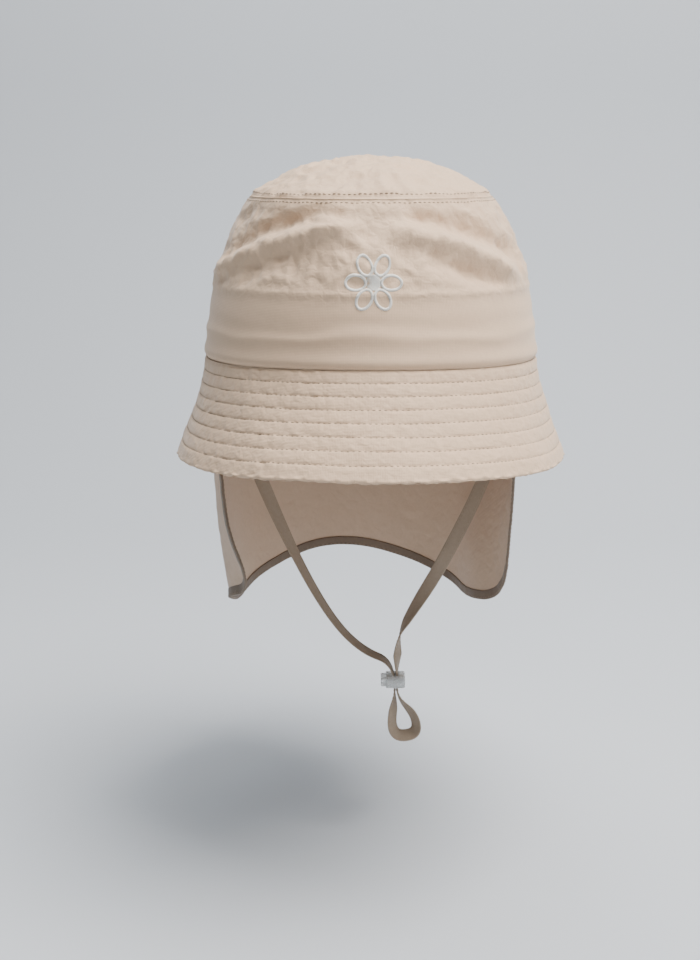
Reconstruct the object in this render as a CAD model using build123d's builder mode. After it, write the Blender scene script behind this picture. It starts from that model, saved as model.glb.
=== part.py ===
"""A child's bucket sun hat with a neck flap and a chin strap that runs through a sprung cord stopper.

Frame: the origin is the centre of the head opening, in the plane of the seam between crown and brim.
+Z is up, the front of the hat faces -Y, and +X is on the right of somebody who looks at the front.
"""
import math
import os

from build123d import *

# Head opening and crown
head_width = 160.0        # across the opening, between the faces of the sweatband
head_depth = 172.0        # front to back of the same opening
crown_height = 96.5       # from the brim seam to the top of the tip
tip_rise = 18.5           # from the tip seam to the top of the tip
tip_width = 119.0         # across the tip seam
wall_bulge = 6.0          # how far the wall stands out from a straight line between its seams
sweatband_height = 35.0

# Brim
brim_drop = 52.0          # depth of the cone that the brim is cut from
brim_flare_side = 17.0    # how far that cone stands out past the seam at the sides
brim_flare_front = 37.0   # the same at the front and the back
brim_edge_side = 49.0     # the edge hangs this far below the seam at the sides
brim_edge_front = 42.0    # the same at the front and the back

# Neck flap
flap_length = 134.0       # from the seam to the lowest part of the flap
flap_width_low = 141.0    # across the flap at its lowest part
flap_depth_low = 168.0    # front to back of the oval that it follows there
flap_front_top = -30.0    # where its front edges leave the seam, behind the front of the hat
flap_front_low = -21.0    # where those edges end
flap_edge_rise_front = 8.0    # the bottom edge rises this much to the front corners
flap_edge_rise_back = 16.0    # and this much to the middle of the back
flap_corner_radius = 16.0
binding_width = 5.0

# Thickness of each ply
shell_ply = 0.6
backing_ply = 0.3
lining_ply = 0.4
sweatband_ply = 1.0
interlining_ply = 0.7
flap_ply = 0.5
binding_ply = 0.55

# Chin strap
strap_width = 7.0
strap_ply = 0.8
strap_gap = 0.4           # between the two runs of the strap where they pass through the stopper
strap_top = -1.6          # height at which the strap hangs free of its tacks
tack_height = 8.0

# Cord stopper
stopper_x = 14.0          # the strap goes through it here
stopper_z = -175.0
barrel_left = 5.2         # from the strap's centre to the open end of the barrel
barrel_right = 4.8        # from the strap's centre to the closed end
barrel_depth = 11.0
barrel_height = 7.5
barrel_corner = 3.2
barrel_wall = 0.8
plunger_reach = 2.8       # how far the plunger stands out of the barrel
plunger_travel = 1.2
plunger_bridge = 0.6      # the plunger's wall that presses on the strap
spring_wire = 0.35
spring_diameter = 3.4
spring_turns = 2.5

# Embroidered motif
flower_height = 41.0      # above the seam
flower_petals = 6
petal_radius = 5.2
petal_orbit = 8.6         # from the motif's centre to the middle of a petal
thread_width = 1.3
thread_height = 0.6
backing_width = 48.0
backing_drop = 4.0        # from the tip seam down to the top of the backing patch
backing_margin = 4.2      # how far the patch reaches below the motif

# Clearances
ply_gap = 0.05            # between two plies that are sewn together
body_gap = 0.35           # between pieces that move past each other
slot_gap = 0.4            # between the strap and the walls of its slots
slide_gap = 0.1           # between the plunger and the barrel

# Worked out from the sizes above
backing_inset = shell_ply + ply_gap
lining_inset = backing_inset + backing_ply + ply_gap
sweatband_inset = lining_inset + lining_ply + ply_gap
crown_half = head_width / 2 + sweatband_inset + sweatband_ply
ovality = (head_depth / 2 + sweatband_inset + sweatband_ply) / crown_half
seam_height = crown_height - tip_rise
backing_low = flower_height - petal_orbit - petal_radius - backing_margin
backing_high = seam_height - backing_drop
tip_half = tip_width / 2
tip_sphere = (tip_half**2 + tip_rise**2) / (2 * tip_rise)
tip_centre = crown_height - tip_sphere

os.makedirs("parts", exist_ok=True)


def circle_through(a, b, c):
    """Return the centre and the radius of the circle through three (radius, height) points."""
    d = 2 * (a[0] * (b[1] - c[1]) + b[0] * (c[1] - a[1]) + c[0] * (a[1] - b[1]))
    squares = [p[0] ** 2 + p[1] ** 2 for p in (a, b, c)]
    x = (squares[0] * (b[1] - c[1]) + squares[1] * (c[1] - a[1]) + squares[2] * (a[1] - b[1])) / d
    y = (squares[0] * (c[0] - b[0]) + squares[1] * (a[0] - c[0]) + squares[2] * (b[0] - a[0])) / d
    return x, y, math.hypot(a[0] - x, a[1] - y)


wall_x, wall_z, wall_radius = circle_through(
    (crown_half, 0.0),
    ((crown_half + tip_half) / 2 + wall_bulge, seam_height / 2),
    (tip_half, seam_height),
)


def wall_point(height, inset):
    """Return the point of the crown wall's section at a height, moved in by an inset."""
    return wall_x + math.sqrt((wall_radius - inset) ** 2 - (height - wall_z) ** 2), height


def tip_point(height, inset):
    """Return the point of the tip's domed section at a height, moved in by an inset."""
    return math.sqrt((tip_sphere - inset) ** 2 - (height - tip_centre) ** 2), height


def wall_shell(low, high, inset, ply):
    """Make one ply of the crown's wall between two heights, stretched to the oval of the head."""
    heights = (low, (low + high) / 2, high)
    outer = [wall_point(height, inset) for height in heights]
    inner = [wall_point(height, inset + ply) for height in reversed(heights)]
    with BuildPart() as shell:
        with BuildSketch(Plane.XZ):
            with BuildLine():
                ThreePointArc(*outer)
                Line(outer[-1], inner[0])
                ThreePointArc(*inner)
                Line(inner[-1], outer[0])
            make_face()
        revolve(axis=Axis.Z)
        scale(by=(1, ovality, 1))
    return shell.part


def tip_shell(low, inset, ply):
    """Make one ply of the domed tip above a height, stretched to the oval of the head."""
    tops = [tip_centre + tip_sphere - inset, tip_centre + tip_sphere - inset - ply]
    outer = [tip_point(low, inset), tip_point((low + tops[0]) / 2, inset), (0, tops[0])]
    inner = [(0, tops[1]), tip_point((low + tops[1]) / 2, inset + ply), tip_point(low, inset + ply)]
    with BuildPart() as shell:
        with BuildSketch(Plane.XZ):
            with BuildLine():
                ThreePointArc(*outer)
                Line(outer[-1], inner[0])
                ThreePointArc(*inner)
                Line(inner[-1], outer[0])
            make_face()
        revolve(axis=Axis.Z)
        scale(by=(1, ovality, 1))
    return shell.part


def oval_cone(top, bottom, top_halves, bottom_halves):
    """Make a solid between an oval at one height and another oval lower down."""
    with BuildPart() as cone:
        for height, halves in ((top, top_halves), (bottom, bottom_halves)):
            with BuildSketch(Plane.XY.offset(height)):
                Ellipse(*halves)
        loft(ruled=True)
    return cone.part


def brim_ply(inset, ply):
    """Make one ply of the brim, cut to the edge that hangs lower at the sides."""
    crown_halves = (crown_half, crown_half * ovality)
    flares = (brim_flare_side, brim_flare_front)
    cones = []
    for depth in (inset, inset + ply):
        top_halves = [half - depth for half in crown_halves]
        low_halves = [half + flare - depth for half, flare in zip(crown_halves, flares)]
        cones.append(oval_cone(-ply_gap, -brim_drop, top_halves, low_halves))
    reach = crown_half * ovality + brim_flare_front
    with BuildPart() as ring:
        add(cones[0])
        add(cones[1], mode=Mode.SUBTRACT)
        with BuildSketch(Plane.YZ):
            with BuildLine():
                ThreePointArc((-reach, -brim_edge_front), (0, -brim_edge_side), (reach, -brim_edge_front))
                Polyline((reach, -brim_edge_front), (reach, -2 * brim_drop),
                         (-reach, -2 * brim_drop), (-reach, -brim_edge_front))
            make_face()
        extrude(amount=reach, both=True, mode=Mode.SUBTRACT)
    return ring.part


def flap_cone(top, growth):
    """Make the solid inside the neck flap's inner face, or inside a face that stands further out."""
    fall = (-top - body_gap) / (flap_length - body_gap)
    low = (flap_width_low / 2 + growth, flap_depth_low / 2 + growth)
    high = (flap_top_half + growth, flap_top_half_depth + growth)
    at_top = [a + (b - a) * fall for a, b in zip(high, low)]
    return oval_cone(top, -flap_length - 1, at_top, low)


def flap_outline(inset):
    """Make the block that holds the flap: its side view, moved in by an inset, right across the hat."""
    front_low = (flap_front_low, -flap_length + flap_edge_rise_front)
    back_low = (flap_depth_low / 2, -flap_length + flap_edge_rise_back)
    lowest = ((front_low[0] + back_low[0]) / 2, -flap_length)
    high, far = head_depth / 4, head_depth
    front_high = (flap_front_top - (flap_front_low - flap_front_top) * high / flap_length, high)
    with BuildPart() as block:
        with BuildSketch(Plane.YZ) as side:
            with BuildLine():
                Line(front_high, front_low)
                ThreePointArc(front_low, lowest, back_low)
                Polyline(back_low, (far, back_low[1]), (far, high), front_high)
            make_face()
            fillet(side.vertices().group_by(Axis.Y)[0], radius=flap_corner_radius)
            if inset:
                offset(amount=-inset, kind=Kind.INTERSECTION)
        extrude(amount=head_width, both=True)
    return block.part


# The flap's top is sewn in under the sweatband, inside the innermost ply of the brim
brim_stack = 2 * shell_ply + interlining_ply + 2 * ply_gap
flap_top_half = crown_half - brim_stack - body_gap - flap_ply
flap_top_half_depth = crown_half * ovality - brim_stack - body_gap - flap_ply
split_gap = Plane.XZ.offset(ply_gap / 2)
split_gap_back = Plane.XZ.offset(-ply_gap / 2)

# Crown: an outer shell of three panels, a lining of two, and the sweatband
crown_wall = wall_shell(0.0, seam_height, 0.0, shell_ply)
with BuildPart() as crown_side_front:
    add(crown_wall)
    split(bisect_by=split_gap, keep=Keep.TOP)

with BuildPart() as crown_side_back:
    add(crown_wall)
    split(bisect_by=split_gap_back, keep=Keep.BOTTOM)

with BuildPart() as crown_tip:
    add(tip_shell(seam_height + ply_gap, 0.0, shell_ply))

with BuildPart() as side_lining:
    add(wall_shell(ply_gap, seam_height - lining_inset, lining_inset, lining_ply))

with BuildPart() as tip_lining:
    add(tip_shell(seam_height - lining_inset + ply_gap, lining_inset, lining_ply))

with BuildPart() as sweatband:
    add(wall_shell(0.0, sweatband_height, sweatband_inset, sweatband_ply))

# Embroidery on the front wall: a daisy of thread loops, with its backing patch behind the shell
with BuildPart() as embroidery_backing:
    add(wall_shell(backing_low, backing_high, backing_inset, backing_ply))
    with BuildSketch(Plane.XZ):
        with Locations((0, seam_height / 2)):
            Rectangle(backing_width, 2 * seam_height)
    extrude(amount=head_depth, mode=Mode.INTERSECT)

with BuildPart() as embroidered_flower:
    add(wall_shell(ply_gap, seam_height, -ply_gap - thread_height, thread_height))
    with BuildSketch(Plane.XZ):
        with Locations((0, flower_height)):
            Circle(petal_orbit - petal_radius)
            with PolarLocations(petal_orbit, flower_petals):
                Ellipse(petal_radius, petal_radius * 0.72)
            with PolarLocations(petal_orbit, flower_petals):
                Ellipse(petal_radius - thread_width, petal_radius * 0.72 - thread_width, mode=Mode.SUBTRACT)
    extrude(amount=head_depth, mode=Mode.INTERSECT)

# Brim: a top ply and an under ply of two halves each, with a stiff interlining between them
top_ply = brim_ply(0.0, shell_ply)
under_ply = brim_ply(shell_ply + interlining_ply + 2 * ply_gap, shell_ply)
with BuildPart() as brim_top_front:
    add(top_ply)
    split(bisect_by=split_gap, keep=Keep.TOP)

with BuildPart() as brim_top_back:
    add(top_ply)
    split(bisect_by=split_gap_back, keep=Keep.BOTTOM)

with BuildPart() as brim_interlining:
    add(brim_ply(shell_ply + ply_gap, interlining_ply))

with BuildPart() as brim_under_front:
    add(under_ply)
    split(bisect_by=split_gap, keep=Keep.TOP)

with BuildPart() as brim_under_back:
    add(under_ply)
    split(bisect_by=split_gap_back, keep=Keep.BOTTOM)

# Neck flap: one ply round the back of the head, with a folded binding on its free edges
flap_top = -body_gap
sheet_edge = binding_width / 4
with BuildPart() as neck_flap:
    add(flap_cone(flap_top, flap_ply))
    add(flap_cone(flap_top, 0.0), mode=Mode.SUBTRACT)
    add(flap_outline(sheet_edge), mode=Mode.INTERSECT)

binding_top = -binding_width
with BuildPart() as flap_binding:
    add(flap_cone(binding_top, flap_ply + binding_ply))
    add(flap_cone(binding_top, -binding_ply), mode=Mode.SUBTRACT)
    add(flap_outline(0.0), mode=Mode.INTERSECT)
    add(flap_outline(binding_width), mode=Mode.SUBTRACT)
    with BuildPart(mode=Mode.PRIVATE) as groove:
        add(flap_cone(binding_top, flap_ply + ply_gap))
        add(flap_cone(binding_top, -ply_gap), mode=Mode.SUBTRACT)
        add(flap_outline(sheet_edge - ply_gap), mode=Mode.INTERSECT)
    add(groove.part, mode=Mode.SUBTRACT)

# Chin strap: one flat tape from tack to tack, both runs side by side through the stopper
tack_face = wall_point(tack_height, sweatband_inset + sweatband_ply)[0] - 2 * ply_gap
strap_anchor = tack_face - strap_ply - body_gap - strap_ply / 2
run_offset = (strap_ply + strap_gap) / 2
left_run, right_run = stopper_x - run_offset, stopper_x + run_offset
strap_route = [
    (-strap_anchor, strap_top),
    (-62.5, -51.0),
    (-39.0, -107.0),
    (-20.0, -141.5),
    (-4.0, -158.5),
    (left_run, -165.5),
    (left_run, -184.0),
    (11.2, -207.0),
    (25.5, -206.5),
    (24.8, -195.5),
    (right_run, -184.5),
    (right_run, -165.0),
    (15.2, -150.0),
    (21.0, -139.0),
    (38.5, -110.0),
    (64.0, -55.0),
    (strap_anchor, strap_top),
]


def corner_radii(route):
    """Return the largest arc that the two runs beside each corner of a route leave room for."""
    radii = []
    for before, corner, after in zip(route, route[1:], route[2:]):
        arrive = Vector(*corner) - Vector(*before)
        leave = Vector(*after) - Vector(*corner)
        half_turn = math.radians(arrive.get_angle(leave)) / 2
        radii.append(0.45 * min(arrive.length, leave.length) / math.tan(half_turn))
    return radii


strap_radii = corner_radii(strap_route)
print("strap radii", [round(radius, 1) for radius in strap_radii])
with BuildPart() as chin_strap:
    with BuildLine(Plane.XZ) as strap_path:
        FilletPolyline(*strap_route, radius=strap_radii)
    with BuildSketch(Plane(origin=strap_path.line @ 0, x_dir=(0, 1, 0), z_dir=strap_path.line % 0)):
        Rectangle(strap_width, strap_ply)
    sweep()
strap_length = strap_path.wire().length
swept_share = chin_strap.part.volume / (strap_length * strap_width * strap_ply)
print("strap length", round(strap_length, 1), "volume share", round(swept_share, 4))


def strap_tack(side):
    """Make the sewn-down end of the strap, flat on the sweatband above the opening."""
    with BuildPart() as tack:
        with BuildSketch(Plane.YZ.offset(side * tack_face)):
            with Locations((0, tack_height / 2)):
                RectangleRounded(strap_width, tack_height, strap_ply)
        extrude(amount=-side * strap_ply)
    return tack.part


with BuildPart() as strap_tack_left:
    add(strap_tack(-1))

with BuildPart() as strap_tack_right:
    add(strap_tack(1))

# Cord stopper: a hollow barrel, a sprung plunger in it, and a slot through both for the strap
strap_half = run_offset + strap_ply / 2
slot_depth = strap_width + 2 * body_gap
barrel_length = barrel_left + barrel_right
cavity_depth = slot_depth + 2 * barrel_wall + 2 * slide_gap
cavity_height = barrel_height - 3 * barrel_wall
cavity_corner = cavity_height / 4
stopper_plane = Plane.YZ.offset(stopper_x - barrel_left)
with BuildPart() as stopper_barrel:
    with BuildSketch(stopper_plane):
        with Locations((0, stopper_z)):
            RectangleRounded(barrel_depth, barrel_height, barrel_corner)
    extrude(amount=barrel_length)
    fillet(stopper_barrel.faces().sort_by(Axis.X)[-1].edges(), radius=barrel_wall)
    fillet(stopper_barrel.faces().sort_by(Axis.X)[0].edges(), radius=barrel_wall / 4)
    with BuildSketch(stopper_plane):
        with Locations((0, stopper_z)):
            RectangleRounded(cavity_depth, cavity_height, cavity_corner)
    extrude(amount=barrel_length - barrel_wall, mode=Mode.SUBTRACT)
    with BuildSketch(Plane.XY.offset(stopper_z)):
        with Locations((stopper_x, 0)):
            Rectangle(2 * (strap_half + slot_gap), slot_depth)
    extrude(amount=barrel_height, both=True, mode=Mode.SUBTRACT)

plunger_left = stopper_x - barrel_left - plunger_reach
plunger_right = stopper_x + strap_half + slot_gap + plunger_bridge
plunger_height = cavity_height - 2 * slide_gap
plunger_depth = cavity_depth - 2 * slide_gap
window_right = plunger_right - plunger_bridge
window_left = stopper_x - strap_half - slot_gap - plunger_travel
with BuildPart() as stopper_plunger:
    with BuildSketch(Plane.YZ.offset(plunger_left)):
        with Locations((0, stopper_z)):
            RectangleRounded(plunger_depth, plunger_height, cavity_corner - slide_gap)
    extrude(amount=plunger_right - plunger_left)
    fillet(stopper_plunger.faces().sort_by(Axis.X)[0].edges(), radius=plunger_bridge)
    with BuildSketch(Plane.XY.offset(stopper_z)):
        with Locations(((window_left + window_right) / 2, 0)):
            Rectangle(window_right - window_left, slot_depth)
    extrude(amount=plunger_height, both=True, mode=Mode.SUBTRACT)

spring_left = plunger_right + spring_wire / 2 + ply_gap
spring_right = stopper_x + barrel_right - barrel_wall - spring_wire / 2 - ply_gap
spring_radius = (spring_diameter - spring_wire) / 2
with BuildPart() as stopper_spring:
    with BuildLine() as coil:
        Helix(
            pitch=(spring_right - spring_left) / spring_turns,
            height=spring_right - spring_left,
            radius=spring_radius,
            center=(spring_left, 0, stopper_z),
            direction=(1, 0, 0),
        )
    with BuildSketch(Plane(origin=coil.line @ 0, z_dir=coil.line % 0)):
        Circle(spring_wire / 2)
    sweep(is_frenet=True)

pieces = {
    "crown_side_front": crown_side_front,
    "crown_side_back": crown_side_back,
    "crown_tip": crown_tip,
    "side_lining": side_lining,
    "tip_lining": tip_lining,
    "sweatband": sweatband,
    "embroidery_backing": embroidery_backing,
    "embroidered_flower": embroidered_flower,
    "brim_top_front": brim_top_front,
    "brim_top_back": brim_top_back,
    "brim_interlining": brim_interlining,
    "brim_under_front": brim_under_front,
    "brim_under_back": brim_under_back,
    "neck_flap": neck_flap,
    "flap_binding": flap_binding,
    "chin_strap": chin_strap,
    "strap_tack_left": strap_tack_left,
    "strap_tack_right": strap_tack_right,
    "stopper_barrel": stopper_barrel,
    "stopper_plunger": stopper_plunger,
    "stopper_spring": stopper_spring,
}
for name, piece in pieces.items():
    piece.part.label = name
    export_step(piece.part, f"parts/{name}.step")
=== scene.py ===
"""The looks of a child's bucket sun hat: crinkled cloth, stitched brim, neck flap, chin strap and stopper.

Everything is in metres in the part's own frame: the origin is the centre of the head opening, +Z is up and
the front of the hat faces -Y. Turns about the hat are counted from the middle of the front, positive to +X.
"""
import logging
import math
from dataclasses import dataclass, field
from enum import Enum
from typing import Callable

import bmesh
import bpy
import numpy as np
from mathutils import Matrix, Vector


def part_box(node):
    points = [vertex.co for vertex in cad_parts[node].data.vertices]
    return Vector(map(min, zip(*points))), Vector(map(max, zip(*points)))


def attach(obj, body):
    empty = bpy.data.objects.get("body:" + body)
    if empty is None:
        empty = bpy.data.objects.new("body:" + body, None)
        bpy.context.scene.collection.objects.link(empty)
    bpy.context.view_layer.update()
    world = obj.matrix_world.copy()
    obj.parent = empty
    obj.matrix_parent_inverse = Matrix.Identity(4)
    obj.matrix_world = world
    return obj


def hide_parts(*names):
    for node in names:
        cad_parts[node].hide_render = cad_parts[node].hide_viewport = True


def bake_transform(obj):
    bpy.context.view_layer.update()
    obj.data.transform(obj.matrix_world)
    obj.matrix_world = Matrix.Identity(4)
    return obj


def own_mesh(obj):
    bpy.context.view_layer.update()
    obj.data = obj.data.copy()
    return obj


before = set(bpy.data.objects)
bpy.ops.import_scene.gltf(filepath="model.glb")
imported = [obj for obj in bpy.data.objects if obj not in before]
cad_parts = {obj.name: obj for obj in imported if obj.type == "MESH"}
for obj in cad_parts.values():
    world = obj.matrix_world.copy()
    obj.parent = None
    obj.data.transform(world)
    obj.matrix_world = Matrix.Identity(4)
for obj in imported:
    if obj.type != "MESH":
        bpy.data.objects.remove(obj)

LOG = logging.getLogger("sun_hat")
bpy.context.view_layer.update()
MM = 0.001
SIDE = math.pi / 2
AROUND = (-math.pi, math.pi)
FRONT_HALF, BACK_HALF = (-SIDE, SIDE), (SIDE, SIDE + math.pi)
HALVES = {"front": FRONT_HALF, "back": BACK_HALF}
SEAM_LIFT = 3.6 * MM
NO_LENGTH = 1e-12


# ---------------------------------------------------------------- noise and small shape helpers


class Crinkle:
    """Smooth three-way noise with a fixed seed, for creases that run on without a seam."""

    def __init__(self, seed: int) -> None:
        """Draw the lattice's order and its slopes.

        Args:
            seed: number that fixes the pattern.
        """
        rng = np.random.default_rng(seed)
        order = rng.permutation(256)
        self.order = np.concatenate([order, order])
        slopes = rng.normal(size=(256, 3))
        self.slopes = slopes / np.linalg.norm(slopes, axis=1, keepdims=True)

    def smooth(self, points: np.ndarray, cell: float) -> np.ndarray:
        """Blend the slopes at the eight lattice corners round each point, which gives about -0.7 to 0.7.

        Args:
            points: array of places, with x, y, z last.
            cell: size of a lattice cell, in metres.

        Returns:
            One value for each point.
        """
        scaled = points / cell
        base = np.floor(scaled).astype(int)
        part = scaled - base
        ease = part**3 * (part * (part * 6 - 15) + 10)
        total = np.zeros(points.shape[:-1])
        for corner in np.ndindex(2, 2, 2):
            cellx, celly, cellz = ((base[..., i] + corner[i]) & 255 for i in range(3))
            slope = self.slopes[self.order[self.order[self.order[cellx] + celly] + cellz]]
            reach = np.sum(slope * (part - np.array(corner)), axis=-1)
            share = np.ones_like(total)
            for i in range(3):
                share = share * (ease[..., i] if corner[i] else 1 - ease[..., i])
            total += share * reach
        return total

    def creased(self, points: np.ndarray, cell: float) -> np.ndarray:
        """Fold the noise at its zero lines, so that it has sharp creases; about -0.5 to 0.5, mean near 0."""
        return 0.5 - 2.4 * np.abs(self.smooth(points, cell))


@dataclass(frozen=True)
class Wrinkle:
    """One size of wrinkle, in millimetres: its cells, its height and whether its creases are sharp."""

    cell: float
    height: float
    sharp: bool = True

    def on(self, crinkle: Crinkle, points: np.ndarray) -> np.ndarray:
        """Return the wrinkle's height at points, in metres."""
        noise = crinkle.creased if self.sharp else crinkle.smooth
        return noise(points, self.cell * MM) * self.height * MM


@dataclass(frozen=True)
class Ridge:
    """One level ridge in cloth, in millimetres: where its top is, its half-width and its height."""

    at: float
    width: float
    height: float

    def on(self, distance: np.ndarray) -> np.ndarray:
        """Return the ridge's height at distances, all in metres."""
        return bell(distance - self.at * MM, self.width * MM) * self.height * MM


def ease(low: float, high: float, value: np.ndarray) -> np.ndarray:
    """Go smoothly from 0 below low to 1 above high."""
    t = np.clip((value - low) / (high - low), 0.0, 1.0)
    return t * t * (3 - 2 * t)


def front_lift(turn: np.ndarray) -> np.ndarray:
    """Return how much higher the brim's seam lies: the square of the turn's cosine, at the front only."""
    return SEAM_LIFT * np.maximum(np.cos(turn), 0.0) ** 2


def bell(distance: np.ndarray, width: float) -> np.ndarray:
    """Give 1 at no distance and fall off like a bell of that half-width."""
    return np.exp(-((distance / width) ** 2))


def across(a: np.ndarray, b: np.ndarray) -> np.ndarray:
    """Return the unit vectors square to both a and b."""
    return unit(np.cross(a, b))


def unit(vectors: np.ndarray) -> np.ndarray:
    """Scale vectors to length 1."""
    return vectors / np.maximum(np.linalg.norm(vectors, axis=-1, keepdims=True), NO_LENGTH)


def along(points: np.ndarray) -> np.ndarray:
    """Return the running length at each point of a line."""
    steps = np.linalg.norm(np.diff(points, axis=0), axis=1)
    return np.concatenate([[0.0], np.cumsum(steps)])


def sample(points: np.ndarray, length: np.ndarray, wanted: np.ndarray) -> np.ndarray:
    """Read a line of points at wanted running lengths."""
    return np.stack([np.interp(wanted, length, points[:, i]) for i in range(points.shape[1])], axis=1)


def evenly(points: np.ndarray, count: int) -> np.ndarray:
    """Spread count points evenly along a line of points."""
    length = along(points)
    return sample(points, length, np.linspace(0.0, length[-1], count))


# ---------------------------------------------------------------- meshes from arrays


def grid_faces(rows: int, columns: int) -> np.ndarray:
    """Number the four-sided faces of a grid of rows by columns of points."""
    index = np.arange(rows * columns).reshape(rows, columns)
    corners = (index[:-1, :-1], index[:-1, 1:], index[1:, 1:], index[1:, :-1])
    return np.stack(corners, axis=-1).reshape(-1, 4)


def fill_mesh(name: str, points: np.ndarray, faces: np.ndarray, uv: np.ndarray | None = None
              ) -> bpy.types.Object:
    """Put arrays of points and four-sided faces into a new smooth-shaded mesh object at the origin.

    Args:
        name: name of the piece.
        points: n x 3 places, in metres.
        faces: m x 4 point numbers. The last two may be the same, which makes a triangle.
        uv: optional n x 2 cloth coordinates, in metres.

    Returns:
        The new object, in the scene.
    """
    mesh = bpy.data.meshes.new(name)
    sizes = np.where(faces[:, 2] == faces[:, 3], 3, 4)
    keep = np.ones(faces.shape, bool)
    keep[:, 3] = sizes == 4
    loops = faces[keep]
    mesh.vertices.add(len(points))
    mesh.vertices.foreach_set("co", points.astype(np.float32).ravel())
    mesh.loops.add(len(loops))
    mesh.loops.foreach_set("vertex_index", loops.astype(np.int32))
    mesh.polygons.add(len(faces))
    starts = np.concatenate([[0], np.cumsum(sizes)[:-1]])
    mesh.polygons.foreach_set("loop_start", starts.astype(np.int32))
    if uv is not None:
        layer = mesh.uv_layers.new(name="cloth")
        layer.data.foreach_set("uv", uv[loops].astype(np.float32).ravel())
    mesh.update(calc_edges=True)
    mesh.validate()
    mesh.polygons.foreach_set("use_smooth", np.ones(len(mesh.polygons), bool))
    piece = bpy.data.objects.new(name, mesh)
    bpy.context.scene.collection.objects.link(piece)
    return piece


def grid_normals(points: np.ndarray) -> np.ndarray:
    """Return the unit normals of a grid surface: the cross product of its two directions."""
    return across(np.gradient(points, axis=1), np.gradient(points, axis=0))


def cloth_lengths(points: np.ndarray) -> np.ndarray:
    """Return cloth coordinates in metres: the mean running length along the rows and down the columns."""
    lengths = []
    for direction in (1, 0):
        steps = np.linalg.norm(np.diff(points, axis=direction), axis=2).mean(axis=1 - direction)
        lengths.append(np.concatenate([[0.0], np.cumsum(steps)]))
    return np.stack(np.meshgrid(*lengths), axis=-1)


def cloth_ply(name: str, points: np.ndarray, ply: float, closed: bool = False) -> bpy.types.Object:
    """Make a closed thin shell from a grid of points, with its thickness on the inner side.

    The inner face is the outer one moved back along its normals by the ply, and walls join their rims. A
    closed grid repeats its first column as its last, and the two are one in the mesh.

    Args:
        name: name of the piece.
        points: rows x columns x 3 places on the outer face.
        ply: thickness in metres.
        closed: whether the columns run right round.

    Returns:
        The new object.
    """
    rows, columns = points.shape[:2]
    normals = grid_normals(points)
    if closed:
        seam = unit(normals[:, 0] + normals[:, -1])
        normals[:, 0], normals[:, -1] = seam, seam
    uv = cloth_lengths(points).reshape(-1, 2)
    outer = grid_faces(rows, columns)
    total = rows * columns
    inner = outer[:, ::-1] + total
    index = np.arange(total).reshape(rows, columns)
    rims = [index[0, ::-1], index[-1, :]]
    if not closed:
        rims = [np.concatenate([index[0, ::-1], index[1:, 0], index[-1, 1:], index[-2::-1, -1]])]
    walls = []
    for rim in rims:
        ahead = rim[1:]
        walls.append(np.stack([ahead, rim[:-1], rim[:-1] + total, ahead + total], axis=-1))
    both = np.concatenate([points.reshape(-1, 3), (points - normals * ply).reshape(-1, 3)])
    piece = fill_mesh(name, both, np.concatenate([outer, inner, *walls]), np.concatenate([uv, uv]))
    if closed:
        weld(piece)
    return piece


def rework(piece: bpy.types.Object, change: Callable[[bmesh.types.BMesh], object]) -> None:
    """Open a piece's mesh for editing, change it and write it back."""
    work = bmesh.new()
    work.from_mesh(piece.data)
    change(work)
    work.to_mesh(piece.data)
    work.free()


def weld(piece: bpy.types.Object) -> None:
    """Join points of a mesh that lie on each other."""
    rework(piece, lambda work: bmesh.ops.remove_doubles(work, verts=work.verts, dist=1e-6))


def face_outwards(piece: bpy.types.Object) -> None:
    """Turn every face of a closed mesh outwards."""
    rework(piece, lambda work: bmesh.ops.recalc_face_normals(work, faces=work.faces))


def ring_faces(rings: int, size: int) -> tuple[np.ndarray, np.ndarray, np.ndarray]:
    """Number the points of a row of closed rings, each point's next one, and the faces between rings."""
    index = np.arange(rings * size).reshape(rings, size)
    nexts = np.roll(index, -1, axis=1)
    return index, nexts, np.stack([index[:-1], nexts[:-1], nexts[1:], index[1:]], axis=-1).reshape(-1, 4)


def swept(name: str, line: np.ndarray, side: np.ndarray, up: np.ndarray, outline: np.ndarray
          ) -> bpy.types.Object:
    """Carry a closed outline along a line of points and cap both ends.

    Each ring is the line's point plus the outline's first number along side and its second along up.

    Args:
        name: name of the piece.
        line: n x 3 places.
        side: n x 3 unit directions of the outline's first axis.
        up: n x 3 unit directions of the outline's second axis.
        outline: m x 2 points in metres, in order round the section.

    Returns:
        The new object.
    """
    rings = line[:, None] + side[:, None] * outline[None, :, :1] + up[:, None] * outline[None, :, 1:]
    index, nexts, walls = ring_faces(len(line), len(outline))
    hubs = [np.full(len(outline), index.size), np.full(len(outline), index.size + 1)]
    start = np.stack([nexts[0], index[0], hubs[0], hubs[0]], axis=-1)
    stop = np.stack([index[-1], nexts[-1], hubs[1], hubs[1]], axis=-1)
    points = np.concatenate([rings.reshape(-1, 3), [rings[0].mean(axis=0), rings[-1].mean(axis=0)]])
    round_the_section = along(np.concatenate([outline, outline[:1]]))[:-1]
    uv = np.stack(np.meshgrid(round_the_section, along(line)), axis=-1).reshape(-1, 2)
    piece = fill_mesh(name, points, np.concatenate([walls, start, stop]),
                      np.concatenate([uv, uv[:1], uv[-1:]]))
    face_outwards(piece)
    return piece


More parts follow.
